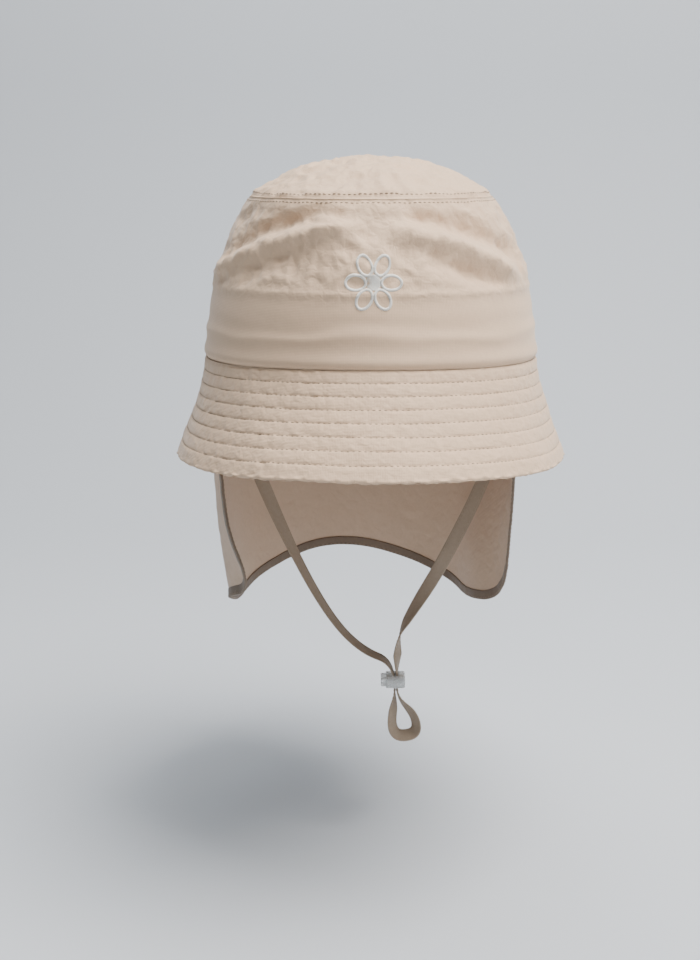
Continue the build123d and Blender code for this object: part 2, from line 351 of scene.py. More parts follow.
def rounded_outline(width: float, height: float, corner: float, steps: int = 4) -> np.ndarray:
    """Make a rounded rectangle about the origin: four quarter circles joined by straight sides."""
    quarter = np.linspace(0, math.pi / 2, steps)
    centres = ((1, 1, 0), (-1, 1, 1), (-1, -1, 2), (1, -1, 3))
    arcs = []
    for sign_x, sign_y, turn in centres:
        angle = quarter + turn * math.pi / 2
        x = sign_x * (width / 2 - corner) + corner * np.cos(angle)
        y = sign_y * (height / 2 - corner) + corner * np.sin(angle)
        arcs.append(np.stack([x, y], axis=-1))
    return np.concatenate(arcs)


START_CAPS = {6: [[5, 4, 3, 0], [3, 2, 1, 0]], 5: [[3, 2, 1, 0], [4, 3, 0, 0]]}
STOP_CAPS = {6: [[0, 1, 2, 3], [0, 3, 4, 5]], 5: [[0, 1, 2, 3], [0, 3, 4, 4]]}


def threads(name: str, centre: np.ndarray, side: np.ndarray, up: np.ndarray, radius: np.ndarray,
            sides: int) -> bpy.types.Object:
    """Make many short tubes at once, each a row of rings with two faces on each end.

    Args:
        name: name of the piece.
        centre: threads x rings x 3 middles of the rings.
        side: one unit direction across each thread.
        up: one unit direction square to it for each thread.
        radius: one radius for each ring.
        sides: points in a ring, 5 or 6.

    Returns:
        One object that holds every thread.
    """
    turn = np.arange(sides) / sides * 2 * math.pi
    circle = side[:, None] * np.cos(turn)[None, :, None] + up[:, None] * np.sin(turn)[None, :, None]
    points = centre[:, :, None] + circle[:, None] * radius[None, :, None, None]
    index, _, walls = ring_faces(centre.shape[1], sides)
    one = np.concatenate([walls, START_CAPS[sides], np.array(STOP_CAPS[sides]) + index[-1, 0]])
    shift = np.arange(len(centre)) * index.size
    piece = fill_mesh(name, points.reshape(-1, 3), (one[None] + shift[:, None, None]).reshape(-1, 4))
    face_outwards(piece)
    return piece


def stitch_run(name: str, runs: list[tuple[np.ndarray, np.ndarray]], pitch: float, thread: float,
               fill: float = 0.74, sink: float = 0.25) -> bpy.types.Object:
    """Lay machine stitches along lines: short threads, thick in the middle and sunk in at both ends.

    A stitch's radius and its height over the cloth both fall with the square of the distance from its
    middle, so the middle stands out of the cloth while the ends dip into it.

    Args:
        name: name of the piece.
        runs: pairs of line points and cloth normals, both n x 3.
        pitch: distance from one stitch to the next, in metres.
        thread: diameter of the thread.
        fill: share of the pitch that the thread covers.
        sink: how far the thread's middle lies in the cloth, as a share of its diameter.

    Returns:
        One object that holds every stitch.
    """
    rings, thinning, dip = 4, 0.82, 0.55
    share = np.linspace(-0.5, 0.5, rings)
    far = (2 * share) ** 2
    swell = np.sqrt(np.maximum(1 - far * thinning, 0.0))
    lift = thread * (0.5 - sink) - thread * dip * far
    reach = pitch * fill / 2
    centres, sides, ups = [], [], []
    for line, normal in runs:
        length = along(line)
        count = max(int(length[-1] / pitch), 1)
        middle = (np.arange(count) + 0.5) * length[-1] / count
        place = sample(line, length, middle)
        run = sample(line, length, middle + reach) - sample(line, length, middle - reach)
        up = unit(sample(normal, length, middle))
        centre = place[:, None] + run[:, None] * share[None, :, None]
        centres.append(centre + up[:, None] * lift[None, :, None])
        sides.append(across(run, up))
        ups.append(up)
    return threads(name, np.concatenate(centres), np.concatenate(sides), np.concatenate(ups),
                   thread / 2 * swell, 6)


def satin_mesh(name: str, runs: list[tuple[np.ndarray, np.ndarray]], thread: float) -> bpy.types.Object:
    """Make one bowed thread between each pair of ends.

    Its middle bows out of the cloth by a share of its length, and its ends dip into the cloth.

    Args:
        name: name of the piece.
        runs: for each run, 2n places and 2n normals: the two ends of each of n threads, in turn.
        thread: diameter of a thread.

    Returns:
        One object that holds every thread.
    """
    rings, most_bow, bow_share, dip = 5, 0.42 * MM, 0.35, 0.05 * MM
    share = np.linspace(0, 1, rings)
    first = np.concatenate([place[0::2] for place, _ in runs])
    run = np.concatenate([place[1::2] for place, _ in runs]) - first
    up = unit(np.concatenate([normal[0::2] + normal[1::2] for _, normal in runs]))
    bow = np.minimum(most_bow, np.linalg.norm(run, axis=1) * bow_share)
    lift = (4 * share * (1 - share))[None, :, None] * bow[:, None, None] - dip
    centre = first[:, None] + run[:, None] * share[None, :, None] + up[:, None] * lift
    return threads(name, centre, across(run, up), up, np.full(rings, thread / 2), 5)


# ---------------------------------------------------------------- materials


class Wire:
    """A shader socket that can stand in Python sums; each operator adds its Math node."""

    def __init__(self, shade: "Shade", socket: bpy.types.NodeSocket) -> None:
        """Wrap one output socket of a material's nodes."""
        self.shade = shade
        self.socket = socket

    def _math(self, operation: str, other: "Wire | float") -> "Wire":
        """Add a Math node for an operation on this value and another."""
        return self.shade.node("ShaderNodeMath", {"operation": operation}, {0: self, 1: other})

    def __add__(self, other: "Wire | float") -> "Wire":
        """Add a value."""
        return self._math("ADD", other)

    def __mul__(self, other: "Wire | float") -> "Wire":
        """Multiply by a value."""
        return self._math("MULTIPLY", other)


class Coordinates(Enum):
    """Where a pattern takes its place from."""

    OBJECT = "Object"
    CLOTH = "UV"


class Shade:
    """The nodes of one material round a Principled shader."""

    def __init__(self, name: str) -> None:
        """Start a material with an empty node tree, a Principled shader and an output."""
        self.material = bpy.data.materials.new(name)
        self.material.use_nodes = True
        self.nodes = self.material.node_tree.nodes
        self.links = self.material.node_tree.links
        self.nodes.clear()
        self.surface = self.nodes.new("ShaderNodeBsdfPrincipled")
        output = self.nodes.new("ShaderNodeOutputMaterial")
        self.links.new(self.surface.outputs[0], output.inputs["Surface"])

    def node(self, kind: str, settings: dict | None = None, sockets: dict | None = None,
             out: int | str = 0) -> Wire:
        """Add a node.

        Args:
            kind: the node's type.
            settings: properties that are set first.
            sockets: values or wires for its inputs, by name or number.
            out: which output to return.

        Returns:
            The output as a Wire.
        """
        made = self.nodes.new(kind)
        for key, value in (settings or {}).items():
            setattr(made, key, value)
        for key, value in (sockets or {}).items():
            if isinstance(value, Wire):
                self.links.new(value.socket, made.inputs[key])
            else:
                made.inputs[key].default_value = value
        return Wire(self, made.outputs[out])

    def place(self, source: Coordinates, scale: tuple[float, float, float] = (1, 1, 1)) -> Wire:
        """Return coordinates in metres times a scale along each axis."""
        raw = self.node("ShaderNodeTexCoord", out=source.value)
        return self.node("ShaderNodeMapping", sockets={"Vector": raw, "Scale": scale})

    def noise(self, where: Wire, size: float, detail: float = 2.0, rough: float = 0.5) -> Wire:
        """Return cloudy noise from 0 to 1 with features of about a size, in metres."""
        sockets = {"Vector": where, "Scale": 1.0 / size, "Detail": detail, "Roughness": rough}
        return self.node("ShaderNodeTexNoise", sockets=sockets, out="Fac")

    def remap(self, value: Wire, start: tuple[float, float], stop: tuple[float, float]) -> Wire:
        """Move a value from one range to another and hold it at both ends."""
        sockets = {0: value, 1: start[0], 2: start[1], 3: stop[0], 4: stop[1]}
        return self.node("ShaderNodeMapRange", sockets=sockets)

    def mix(self, share: Wire | float, first: object, second: object) -> Wire:
        """Blend two colours by a share."""
        sockets = {"Factor": share, 6: first, 7: second}
        return self.node("ShaderNodeMix", {"data_type": "RGBA"}, sockets, out=2)

    def uniform(self, **values: object) -> None:
        """Set values that are the same all over, on the shader's own sockets; _ stands for a space."""
        for key, value in values.items():
            self.surface.inputs[key.replace("_", " ")].default_value = value

    def vary(self, socket: str, wire: Wire) -> None:
        """Let a wire drive one of the shader's sockets."""
        self.links.new(wire.socket, self.surface.inputs[socket])

    def relief(self, height: Wire, depth: float) -> None:
        """Bump the surface by a height from 0 to 1 that stands for a depth in metres."""
        self.vary("Normal", self.node("ShaderNodeBump", sockets={"Height": height, "Distance": depth}))


def rgba(red: float, green: float, blue: float) -> "Colour":
    """Make an opaque colour from linear values."""
    return red, green, blue, 1.0


NOISE_RANGE = (0.3, 0.7)
Colour = tuple[float, float, float, float]


@dataclass(frozen=True)
class ClothFinish:
    """A woven cloth: its colours, how rough it is, its weave and its fine creases."""

    name: str
    colour: Colour
    deep: Colour
    roughness: float = 0.72
    sheen: float = 0.25
    weave: float = 0.0007
    weave_depth: float = 0.00006
    crease: float = 0.006
    crease_depth: float = 0.00022
    calm_below: float = -1.0

    def material(self) -> bpy.types.Material:
        """Make the material: mottled colour, a plain weave on the cloth coordinates and fine creases."""
        shade = Shade(self.name)
        body = shade.place(Coordinates.OBJECT)
        cloth = shade.place(Coordinates.CLOTH)
        cloud = shade.noise(body, 0.045, 3.0)
        fibre = shade.noise(body, 0.0016, 3.0, 0.65)
        tone = shade.remap(cloud * 0.55 + fibre * 0.45, NOISE_RANGE, (0.0, 1.0))
        shade.vary("Base Color", shade.mix(tone, self.deep, self.colour))
        creases = shade.node("ShaderNodeTexVoronoi", {"feature": "DISTANCE_TO_EDGE"},
                             {"Vector": self._bent(shade, body), "Scale": 1.0 / self.crease}, out="Distance")
        facet = shade.remap(creases, (0.0, 0.35), (0.0, 1.0))
        soft = shade.noise(body, self.crease * 0.8, 4.0, 0.6)
        split = shade.node("ShaderNodeSeparateXYZ", sockets={0: cloth}).socket.node
        weave = self._thread(shade, split.outputs[0]) * self._thread(shade, split.outputs[1])
        weave_share = self.weave_depth / (self.weave_depth + self.crease_depth)
        level = shade.node("ShaderNodeSeparateXYZ", sockets={0: body}, out="Z")
        lively = shade.remap(level, (self.calm_below, self.calm_below + 0.006), (0.14, 1.0))
        creased = (facet * 0.35 + soft * 0.65) * lively
        height = weave * weave_share + creased * (1.0 - weave_share)
        shade.relief(height, self.weave_depth + self.crease_depth)
        ends = (self.roughness - 0.07, self.roughness + 0.07)
        shade.vary("Roughness", shade.remap(soft, NOISE_RANGE, ends))
        shade.uniform(Sheen_Weight=self.sheen, Sheen_Roughness=0.45, Specular_IOR_Level=0.35)
        return shade.material

    def _thread(self, shade: Shade, coordinate: bpy.types.NodeSocket) -> Wire:
        """Return the height of threads side by side: half of 1 plus the sine of the running length."""
        turn = 2 * math.pi / self.weave
        wave = shade.node("ShaderNodeMath", {"operation": "SINE"}, {0: Wire(shade, coordinate) * turn})
        return wave * 0.5 + 0.5

    def _bent(self, shade: Shade, body: Wire) -> Wire:
        """Return coordinates pushed about by noise, so that creases are not straight."""
        sockets = {"Vector": body, "Scale": 160.0, "Detail": 2.0}
        push = shade.node("ShaderNodeTexNoise", sockets=sockets, out="Color")
        reach = self.crease * 0.9
        scaled = shade.node("ShaderNodeVectorMath", {"operation": "SCALE"}, {0: push, "Scale": reach})
        return shade.node("ShaderNodeVectorMath", {"operation": "ADD"}, {0: body, 1: scaled})


@dataclass(frozen=True)
class ThreadFinish:
    """Spun thread: its colour, its shine and the twist of its strands."""

    name: str
    colour: Colour
    roughness: float = 0.5
    sheen: float = 0.4

    def material(self) -> bpy.types.Material:
        """Make the material: fine strands in the relief and a little change of tone."""
        shade = Shade(self.name)
        body = shade.place(Coordinates.OBJECT)
        strands = shade.noise(body, 0.00035, 2.0, 0.6)
        dark = tuple(value * 0.82 for value in self.colour[:3]) + (1.0,)
        shade.vary("Base Color", shade.mix(strands, dark, self.colour))
        shade.relief(strands, 0.00008)
        shade.uniform(Roughness=self.roughness, Sheen_Weight=self.sheen, Sheen_Roughness=0.35)
        return shade.material


@dataclass(frozen=True)
class ClearFinish:
    """Clear moulded plastic with a faint cast and moulding marks."""

    name: str
    colour: Colour
    clearness: float = 0.5

    def material(self) -> bpy.types.Material:
        """Make the material: see-through, glossy, with soft flow marks in roughness and relief."""
        shade = Shade(self.name)
        flow = shade.noise(shade.place(Coordinates.OBJECT), 0.0022, 2.0)
        shade.vary("Roughness", shade.remap(flow, NOISE_RANGE, (0.2, 0.34)))
        shade.relief(flow, 0.00006)
        shade.uniform(Base_Color=self.colour, Transmission_Weight=self.clearness, IOR=1.46, Coat_Weight=0.3)
        return shade.material


@dataclass(frozen=True)
class WireFinish:
    """Drawn spring wire."""

    name: str
    colour: Colour

    def material(self) -> bpy.types.Material:
        """Make the material: metal with fine drawing marks."""
        shade = Shade(self.name)
        marks = shade.noise(shade.place(Coordinates.OBJECT, (1.0, 6.0, 6.0)), 0.0006, 2.0)
        shade.vary("Roughness", shade.remap(marks, NOISE_RANGE, (0.22, 0.4)))
        shade.relief(marks, 0.00003)
        shade.uniform(Base_Color=self.colour, Metallic=1.0)
        return shade.material


@dataclass(frozen=True)
class StageFinish:
    """The pale floor and backdrop."""

    name: str
    colour: Colour

    def material(self) -> bpy.types.Material:
        """Make the material: matte, with broad soft clouds."""
        shade = Shade(self.name)
        cloud = shade.noise(shade.place(Coordinates.OBJECT), 0.6, 2.0)
        pale = tuple(min(value * 1.05, 1.0) for value in self.colour[:3]) + (1.0,)
        shade.vary("Base Color", shade.mix(cloud, self.colour, pale))
        shade.uniform(Roughness=0.9, Specular_IOR_Level=0.2)
        return shade.material


BEIGE = rgba(0.80, 0.575, 0.395)
BEIGE_DEEP = rgba(0.72, 0.51, 0.345)
SHELL = ClothFinish("shell_nylon", BEIGE, BEIGE_DEEP, weave_depth=0.00004, crease=0.0055,
                    crease_depth=0.0006, calm_below=0.031)
BRIM = ClothFinish("brim_nylon", BEIGE, BEIGE_DEEP, crease=0.003, crease_depth=0.00026)
# The flap's colours are its own beige, darkened below the shell's by painted shade for the shaded inside of
# the flap.
FLAP = ClothFinish("flap_nylon_painted_shade", rgba(0.68, 0.505, 0.37), rgba(0.61, 0.445, 0.32), crease_depth=0.0003)
BINDING = ClothFinish("binding_nylon", rgba(0.22, 0.165, 0.12), rgba(0.18, 0.132, 0.094), crease=0.003,
                      crease_depth=0.0001)
# The strap's colours are the hat's own beige, darkened by about half with painted shade for the strap hanging
# in shadow under the brim.
STRAP = ClothFinish("strap_nylon_painted_shade", rgba(0.40, 0.315, 0.235), rgba(0.32, 0.25, 0.185), crease=0.003,
                    crease_depth=0.0001)
LINING = ClothFinish("lining_cloth", rgba(0.68, 0.57, 0.48), rgba(0.62, 0.51, 0.43), roughness=0.8,
                     crease=0.009)
SWEATBAND = ClothFinish("sweatband_cloth", rgba(0.62, 0.52, 0.44), rgba(0.56, 0.46, 0.385), roughness=0.82,
                        weave=0.0011, weave_depth=0.0001, crease=0.008, crease_depth=0.00008)
FELT = ClothFinish("felt_backing", rgba(0.80, 0.78, 0.74), rgba(0.72, 0.70, 0.66), roughness=0.9, weave=0.002,
                   crease=0.0015)
SEWING = ThreadFinish("sewing_thread", rgba(0.36, 0.255, 0.175))
EMBROIDERY = ThreadFinish("embroidery_thread", rgba(0.97, 0.955, 0.90), roughness=0.42, sheen=0.3)
PLASTIC = ClearFinish("clear_plastic", rgba(0.93, 0.95, 0.95))
STEEL = WireFinish("spring_steel", rgba(0.62, 0.62, 0.63))
BACKDROP = StageFinish("pale_backdrop", rgba(0.60, 0.635, 0.68))
Finish = ClothFinish | ThreadFinish | ClearFinish | WireFinish | StageFinish
_MADE: dict[str, bpy.types.Material] = {}


def dress(piece: bpy.types.Object, finish: Finish) -> bpy.types.Object:
    """Give a piece one finish in every material slot; each finish is made once."""
    if finish.name not in _MADE:
        _MADE[finish.name] = finish.material()
    made = _MADE[finish.name]
    if piece.data.materials:
        for i in range(len(piece.data.materials)):
            piece.data.materials[i] = made
    else:
        piece.data.materials.append(made)
    return piece


def fit(piece: bpy.types.Object, finish: Finish, slot: str, *nodes: str, body: str = "hat"
        ) -> bpy.types.Object:
    """Dress a new piece, tie it to its body and hide the nodes that it takes the place of."""
    dress(piece, finish)
    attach(piece, body)
    if nodes:
        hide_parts(*nodes)
    return piece


def measured(node: str, corner: int, axis: int, sign: float = 1.0) -> float:
    """Make a field that is read from a CAD node's box: corner 0 is its low one and 1 its high one."""
    return field(default_factory=lambda: sign * float(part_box(node)[corner][axis]))


# ---------------------------------------------------------------- the hat's shape


@dataclass
class Fold:
    """One soft fold in the crown's wall: a line from one place to another and its height.

    Places are (turn in degrees, height in metres).
    """

    start: tuple[float, float]
    end: tuple[float, float]
    height: float
    width: float
    bow: float = 0.0

    def relief(self, turn: np.ndarray, rise: np.ndarray, radius: float) -> np.ndarray:
        """Return the fold's height at places on the wall.

        The fold is a bell across its line, which bows up in the middle like a parabola, and it fades out
        at both ends.

        Args:
            turn: turns about the hat, in radians.
            rise: heights above the seam.
            radius: the wall's mean radius, which makes lengths of turns.

        Returns:
            Heights in metres.
        """
        a = np.array([math.radians(self.start[0]) * radius, self.start[1]])
        b = np.array([math.radians(self.end[0]) * radius, self.end[1]])
        run = b - a
        length = float(np.linalg.norm(run))
        middle = math.radians((self.start[0] + self.end[0]) / 2)
        near = middle + (turn - middle + math.pi) % (2 * math.pi) - math.pi
        flat = np.stack([near * radius, rise], axis=-1) - a
        share = (flat @ run) / length**2
        off = (flat @ np.array([-run[1], run[0]])) / length
        off = off - self.bow * 4 * share * (1 - share)
        fade = ease(-0.12, 0.18, share) * (1 - ease(0.82, 1.12, share))
        return self.height * bell(off, self.width) * fade


BAND_SHARE = 0.4
FOLD_GAIN = 1.5
WALL_SLANT = np.array([0.6, 0.5, 0.4])
WALL_BILLOW, TIP_BILLOW = Wrinkle(38, 1.8, sharp=False), Wrinkle(30, 1.9, sharp=False)
WALL_MID, WALL_SMALL, WALL_TINY = Wrinkle(17, 1.5), Wrinkle(7.5, 0.8), Wrinkle(3.6, 0.3)
TIP_MID, TIP_SMALL, TIP_TINY = Wrinkle(14, 2.1), Wrinkle(6.5, 1.1), Wrinkle(3.4, 0.4)
TIP_PLEATS = Wrinkle(6.0, 0.8)
SEAM_GATHERS, BAND_WAVES = Wrinkle(4.5, 0.5, sharp=False), Wrinkle(9, 0.35, sharp=False)
BAND_RIPPLE, BAND_DIP, BAND_EDGE = Ridge(15, 2.6, 0.55), Ridge(21, 3.0, 0.35), Ridge(0.5, 1.6, 0.7)
SEAM_SWELL, SEAM_PINCH = Ridge(3.5, 3.5, 1.1), Ridge(0, 1.3, 0.9)
TIP_PUFF, TIP_DIP = Ridge(3, 3, 0.5), Ridge(0, 1.2, 0.7)


@dataclass
class Crown:
    """The crown: outer panels, linings, sweatband, embroidery and their stitching."""

    half_width: float = measured("crown_side_front", 1, 0)
    half_depth: float = measured("crown_side_front", 0, 1, -1.0)
    seam_height: float = measured("crown_side_front", 1, 2)
    tip_half: float = measured("crown_tip", 1, 0)
    top: float = measured("crown_tip", 1, 2)
    band_height: float = measured("sweatband", 1, 2)
    wall_bulge: float = 6.0 * MM
    cloth: float = 0.35 * MM
    lining_inset: float = 1.25 * MM
    band_inset: float = 1.9 * MM
    crinkle: Crinkle = field(default_factory=lambda: Crinkle(11))
    folds: list[Fold] = field(default_factory=lambda: [
        Fold((-84, 0.036), (-8, 0.064), 2.3 * MM, 5.0 * MM, 6.0 * MM),
        Fold((-70, 0.052), (-22, 0.071), -1.9 * MM, 5.5 * MM, 3.0 * MM),
        Fold((-30, 0.059), (-5, 0.066), 1.4 * MM, 3.0 * MM, 1.0 * MM),
        Fold((6, 0.064), (62, 0.040), 2.7 * MM, 4.5 * MM, 4.0 * MM),
        Fold((14, 0.070), (70, 0.050), -2.3 * MM, 4.5 * MM, 3.0 * MM),
        Fold((20, 0.052), (52, 0.037), -1.9 * MM, 4.0 * MM, 1.0 * MM),
        Fold((-52, 0.044), (-26, 0.052), -1.2 * MM, 4.5 * MM, 1.0 * MM),
        Fold((92, 0.040), (150, 0.066), 1.8 * MM, 5.0 * MM, 4.0 * MM),
        Fold((-98, 0.062), (-150, 0.040), 1.8 * MM, 5.0 * MM, 4.0 * MM),
        Fold((104, 0.068), (168, 0.052), -1.5 * MM, 5.0 * MM, 3.0 * MM),
        Fold((-110, 0.050), (-172, 0.068), -1.5 * MM, 5.0 * MM, 3.0 * MM),
        Fold((158, 0.038), (178, 0.070), 1.4 * MM, 4.5 * MM, 2.0 * MM),
    ])

    def __post_init__(self) -> None:
        """Find the wall's arc and the tip's ball from the crown's sizes."""
        a = np.array([self.half_width, 0.0])
        b = np.array([(self.half_width + self.tip_half) / 2 + self.wall_bulge, self.seam_height / 2])
        c = np.array([self.tip_half, self.seam_height])
        grid = np.array([b - a, c - b]) * 2
        centre = np.linalg.solve(grid, [b @ b - a @ a, c @ c - b @ b])
        self.wall_x, self.wall_z = float(centre[0]), float(centre[1])
        self.wall_radius = float(np.linalg.norm(a - centre))
        self.ovality = self.half_depth / self.half_width
        rise = self.top - self.seam_height
        self.ball = (self.tip_half**2 + rise**2) / (2 * rise)

    def wall_base(self, turn: np.ndarray, rise: np.ndarray, inset: float) -> tuple[np.ndarray, np.ndarray]:
        """Return places and outward normals on the smooth wall.

        The section is one arc, and each level is an oval: half-width times the sine of the turn across, and
        half-depth times minus its cosine along the hat.

        Args:
            turn: turns about the hat, in radians.
            rise: heights above the seam.
            inset: how far inside the outer face.

        Returns:
            Places and unit normals, both with x, y, z last.
        """
        lean = np.clip((rise - self.wall_z) / self.wall_radius, -1, 1)
        flat = np.sqrt(1 - lean**2)
        reach = self.wall_x + (self.wall_radius - inset) * flat
        height = self.wall_z + (self.wall_radius - inset) * lean
        height = height + front_lift(turn) * np.clip(1 - rise / self.seam_height, 0, 1) ** 2
        place = np.stack([reach * np.sin(turn), -reach * self.ovality * np.cos(turn), height], axis=-1)
        outward = [flat * np.sin(turn) * self.ovality, -flat * np.cos(turn), lean * self.ovality]
        return place, unit(np.stack(outward, axis=-1))

    def wall_relief(self, turn: np.ndarray, rise: np.ndarray, fine: float = 1.0) -> np.ndarray:
        """Return how far the cloth stands off the smooth wall.

        Above the sweatband it adds the listed folds, slow billows and sharp creases. Over the sweatband it
        is nearly smooth, with two level ripples, and it swells out just over the brim's seam.

        Args:
            turn: turns about the hat, in radians.
            rise: heights above the seam.
            fine: share of the sharp creases.

        Returns:
            Heights in metres.
        """
        place, _ = self.wall_base(turn, rise, 0.0)
        radius = (self.half_width + self.half_depth) / 2
        loose = ease(self.band_height - 3 * MM, self.band_height + 9 * MM, rise)
        near_tip = 1 - ease(self.seam_height - 9 * MM, self.seam_height, rise)
        folds = sum(fold.relief(turn, rise, radius) for fold in self.folds) * FOLD_GAIN
        slow = WALL_BILLOW.on(self.crinkle, place)
        slanted = place + place[..., 2:] * WALL_SLANT
        mid = WALL_MID.on(self.crinkle, slanted)
        small = WALL_SMALL.on(self.crinkle, place + 0.3)
        tiny = WALL_TINY.on(self.crinkle, place - 0.2)
        at_seam = 1 - ease(self.seam_height - 2.5 * MM, self.seam_height - 0.5 * MM, rise)
        relief = (mid + small + tiny) * loose * fine * (0.35 + 0.65 * near_tip) * at_seam
        relief = relief + (folds + slow) * loose * near_tip
        gathers = SEAM_GATHERS.on(self.crinkle, place * np.array([1, 1, 0.25]))
        relief = relief + gathers * fine * bell(rise - self.seam_height + 4 * MM, 5 * MM)
        wave = self.crinkle.smooth(place * np.array([0.35, 0.35, 1.0]), 13 * MM)
        ripple = BAND_RIPPLE.on(rise - wave * 4 * MM) - BAND_DIP.on(rise - wave * 5 * MM)
        ripple = ripple + BAND_WAVES.on(self.crinkle, place * np.array([0.4, 0.4, 1.0]))
        edge = BAND_EDGE.on(rise - self.band_height)
        swell = SEAM_SWELL.on(rise) - SEAM_PINCH.on(rise)
        banded = (1 - loose) * (ripple + tiny * 0.12 * fine) + edge + swell
        return relief + banded

    def wall(self, turn: np.ndarray, rise: np.ndarray, inset: float = 0.0, fine: float = 1.0,
             share: float = 1.0) -> np.ndarray:
        """Return places on the wall's cloth: the smooth wall moved out along its normals by the relief."""
        place, normal = self.wall_base(turn, rise, inset)
        relief = self.wall_relief(turn, rise, fine) * share
        return place + normal * relief[..., None]

    def wall_grid(self, turns: tuple[float, float], rises: tuple[float, float], step: float, **how: float
                  ) -> np.ndarray:
        """Return a grid of places on the wall between two turns and two heights, lowest row first."""
        columns = int(abs(turns[1] - turns[0]) * self.half_depth / step)
        rows = int(abs(rises[1] - rises[0]) / step)
        turn, rise = np.meshgrid(np.linspace(*turns, columns), np.linspace(*rises, rows))
        return self.wall(turn, rise, **how)

    def tip_place(self, flat: np.ndarray, inset: float = 0.0, fine: float = 1.0) -> np.ndarray:
        """Return places on the tip's cloth.

        The tip is a ball's cap stretched to the oval. Pleats run in from its seam, and slow billows and
        creases lie over all of it.

        Args:
            flat: places on a disc of radius 1, with two numbers last.
            inset: how far inside the outer face.
            fine: share of the sharp creases.

        Returns:
            Places with x, y, z last.
        """
        share = np.linalg.norm(flat, axis=-1)
        reach = self.tip_half * flat
        ball = self.ball - inset
        height = self.top - self.ball + np.sqrt(np.maximum(ball**2 - (self.tip_half * share) ** 2, 0))
        place = np.stack([reach[..., 0], reach[..., 1] * self.ovality, height], axis=-1)
        normal = unit(place - np.array([0, 0, self.top - self.ball]))
        turn = np.arctan2(flat[..., 0], -flat[..., 1])
        rim = ease(0.55, 0.97, share)
        spokes = np.stack([np.sin(turn), np.cos(turn), share * 0.35], axis=-1) * self.tip_half
        pleats = TIP_PLEATS.on(self.crinkle, spokes) * rim * (1 - 0.6 * ease(0.93, 1.0, share))
        front = bell((turn - 0.09) * 50 * MM, 4 * MM) + bell((turn - 0.26) * 50 * MM, 3 * MM)
        pleats = pleats + front * 1.7 * MM * ease(0.35, 0.85, share) * (1 - ease(0.9, 1.0, share))
        slow = TIP_BILLOW.on(self.crinkle, place) * (1 - 0.7 * rim)
        mid = TIP_MID.on(self.crinkle, place + 0.1)
        small = TIP_SMALL.on(self.crinkle, place - 0.1) + TIP_TINY.on(self.crinkle, place)
        from_seam = (1 - share) * self.tip_half
        puff, dip = TIP_PUFF.on(from_seam), TIP_DIP.on(from_seam)
        at_seam = 1 - ease(1 - 2.5 * MM / self.tip_half, 1 - 0.5 * MM / self.tip_half, share)
        relief = slow + (pleats + (mid + small) * (1 - 0.5 * rim)) * fine * at_seam + puff - dip
        return place + normal * relief[..., None]

    def build(self) -> list[bpy.types.Object]:
        """Build and dress every piece of the crown."""
        return [*self.shell(), *self.inside(), *self.embroidery(), *self.stitching()]

    def shell(self) -> list[bpy.types.Object]:
        """Build the two wall panels and the tip."""
        step = 1.15 * MM
        rises = (0.1 * MM, self.seam_height - 0.2 * MM)
        panels = (("crown_front_panel", self.wall_grid(FRONT_HALF, rises, step), "crown_side_front"),
                  ("crown_back_panel", self.wall_grid(BACK_HALF, rises, step), "crown_side_back"),
                  ("crown_tip_panel", self.tip_place(disc_grid(110)), "crown_tip"))
        return [fit(cloth_ply(name, grid, self.cloth), SHELL, "shell_cloth", node)
                for name, grid, node in panels]

    def inside(self) -> list[bpy.types.Object]:
        """Build the linings, the sweatband and the embroidery's backing patch."""
        lining_rises = (self.band_height - 6 * MM, self.seam_height - 2.5 * MM)
        lining = self.wall_grid(AROUND, lining_rises, 1.4 * MM, inset=self.lining_inset + 1.1 * MM)
        tip = self.tip_place(disc_grid(96) * 0.975, 2.4 * MM)
        band = self.wall_grid(AROUND, (0.3 * MM, self.band_height), 2.0 * MM, inset=self.band_inset, fine=0.0,
                              share=BAND_SHARE)
        low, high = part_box("embroidery_backing")
        reach = math.asin(high[0] / self.half_width)
        patch = self.wall_grid((-reach, reach), (low[2], high[2]), 1.3 * MM, inset=1.1 * MM)
        plies = (("side_lining_cloth", lining, 0.25, True, LINING, "lining_cloth", "side_lining"),
                 ("tip_lining_cloth", tip, 0.25, False, LINING, "lining_cloth", "tip_lining"),
                 ("sweatband_cloth_band", band, 0.6, True, SWEATBAND, "sweatband_cloth", "sweatband"),
                 ("embroidery_backing_patch", patch, 0.2, False, FELT, "backing_felt", "embroidery_backing"))
        return [fit(cloth_ply(name, grid, ply * MM, closed), finish, slot, node)
                for name, grid, ply, closed, finish, slot, node in plies]

    def wall_line(self, rise: float) -> tuple[np.ndarray, np.ndarray]:
        """Return a level line round the wall's outer face and its normals, for stitches."""
        turn = np.linspace(*AROUND, 900)
        level = np.full_like(turn, rise)
        return self.wall(turn, level), self.wall_base(turn, level, 0.0)[1]

    def band_line(self, rise: float) -> tuple[np.ndarray, np.ndarray]:
        """Return a level line round the sweatband's inner face and its normals, for stitches."""
        turn = np.linspace(*AROUND, 900)
        level = np.full_like(turn, rise)
        inset = self.band_inset + 0.6 * MM
        return self.wall(turn, level, inset, 0.0, BAND_SHARE), -self.wall_base(turn, level, inset)[1]

    def tip_line(self, share: float) -> tuple[np.ndarray, np.ndarray]:
        """Return a line round the tip at a share of its radius, with its normals."""
        turn = np.linspace(*AROUND, 900)
        flat = np.stack([np.sin(turn), -np.cos(turn)], axis=-1) * share
        place = self.tip_place(flat)
        return place, unit(place - np.array([0, 0, self.top - self.ball]))

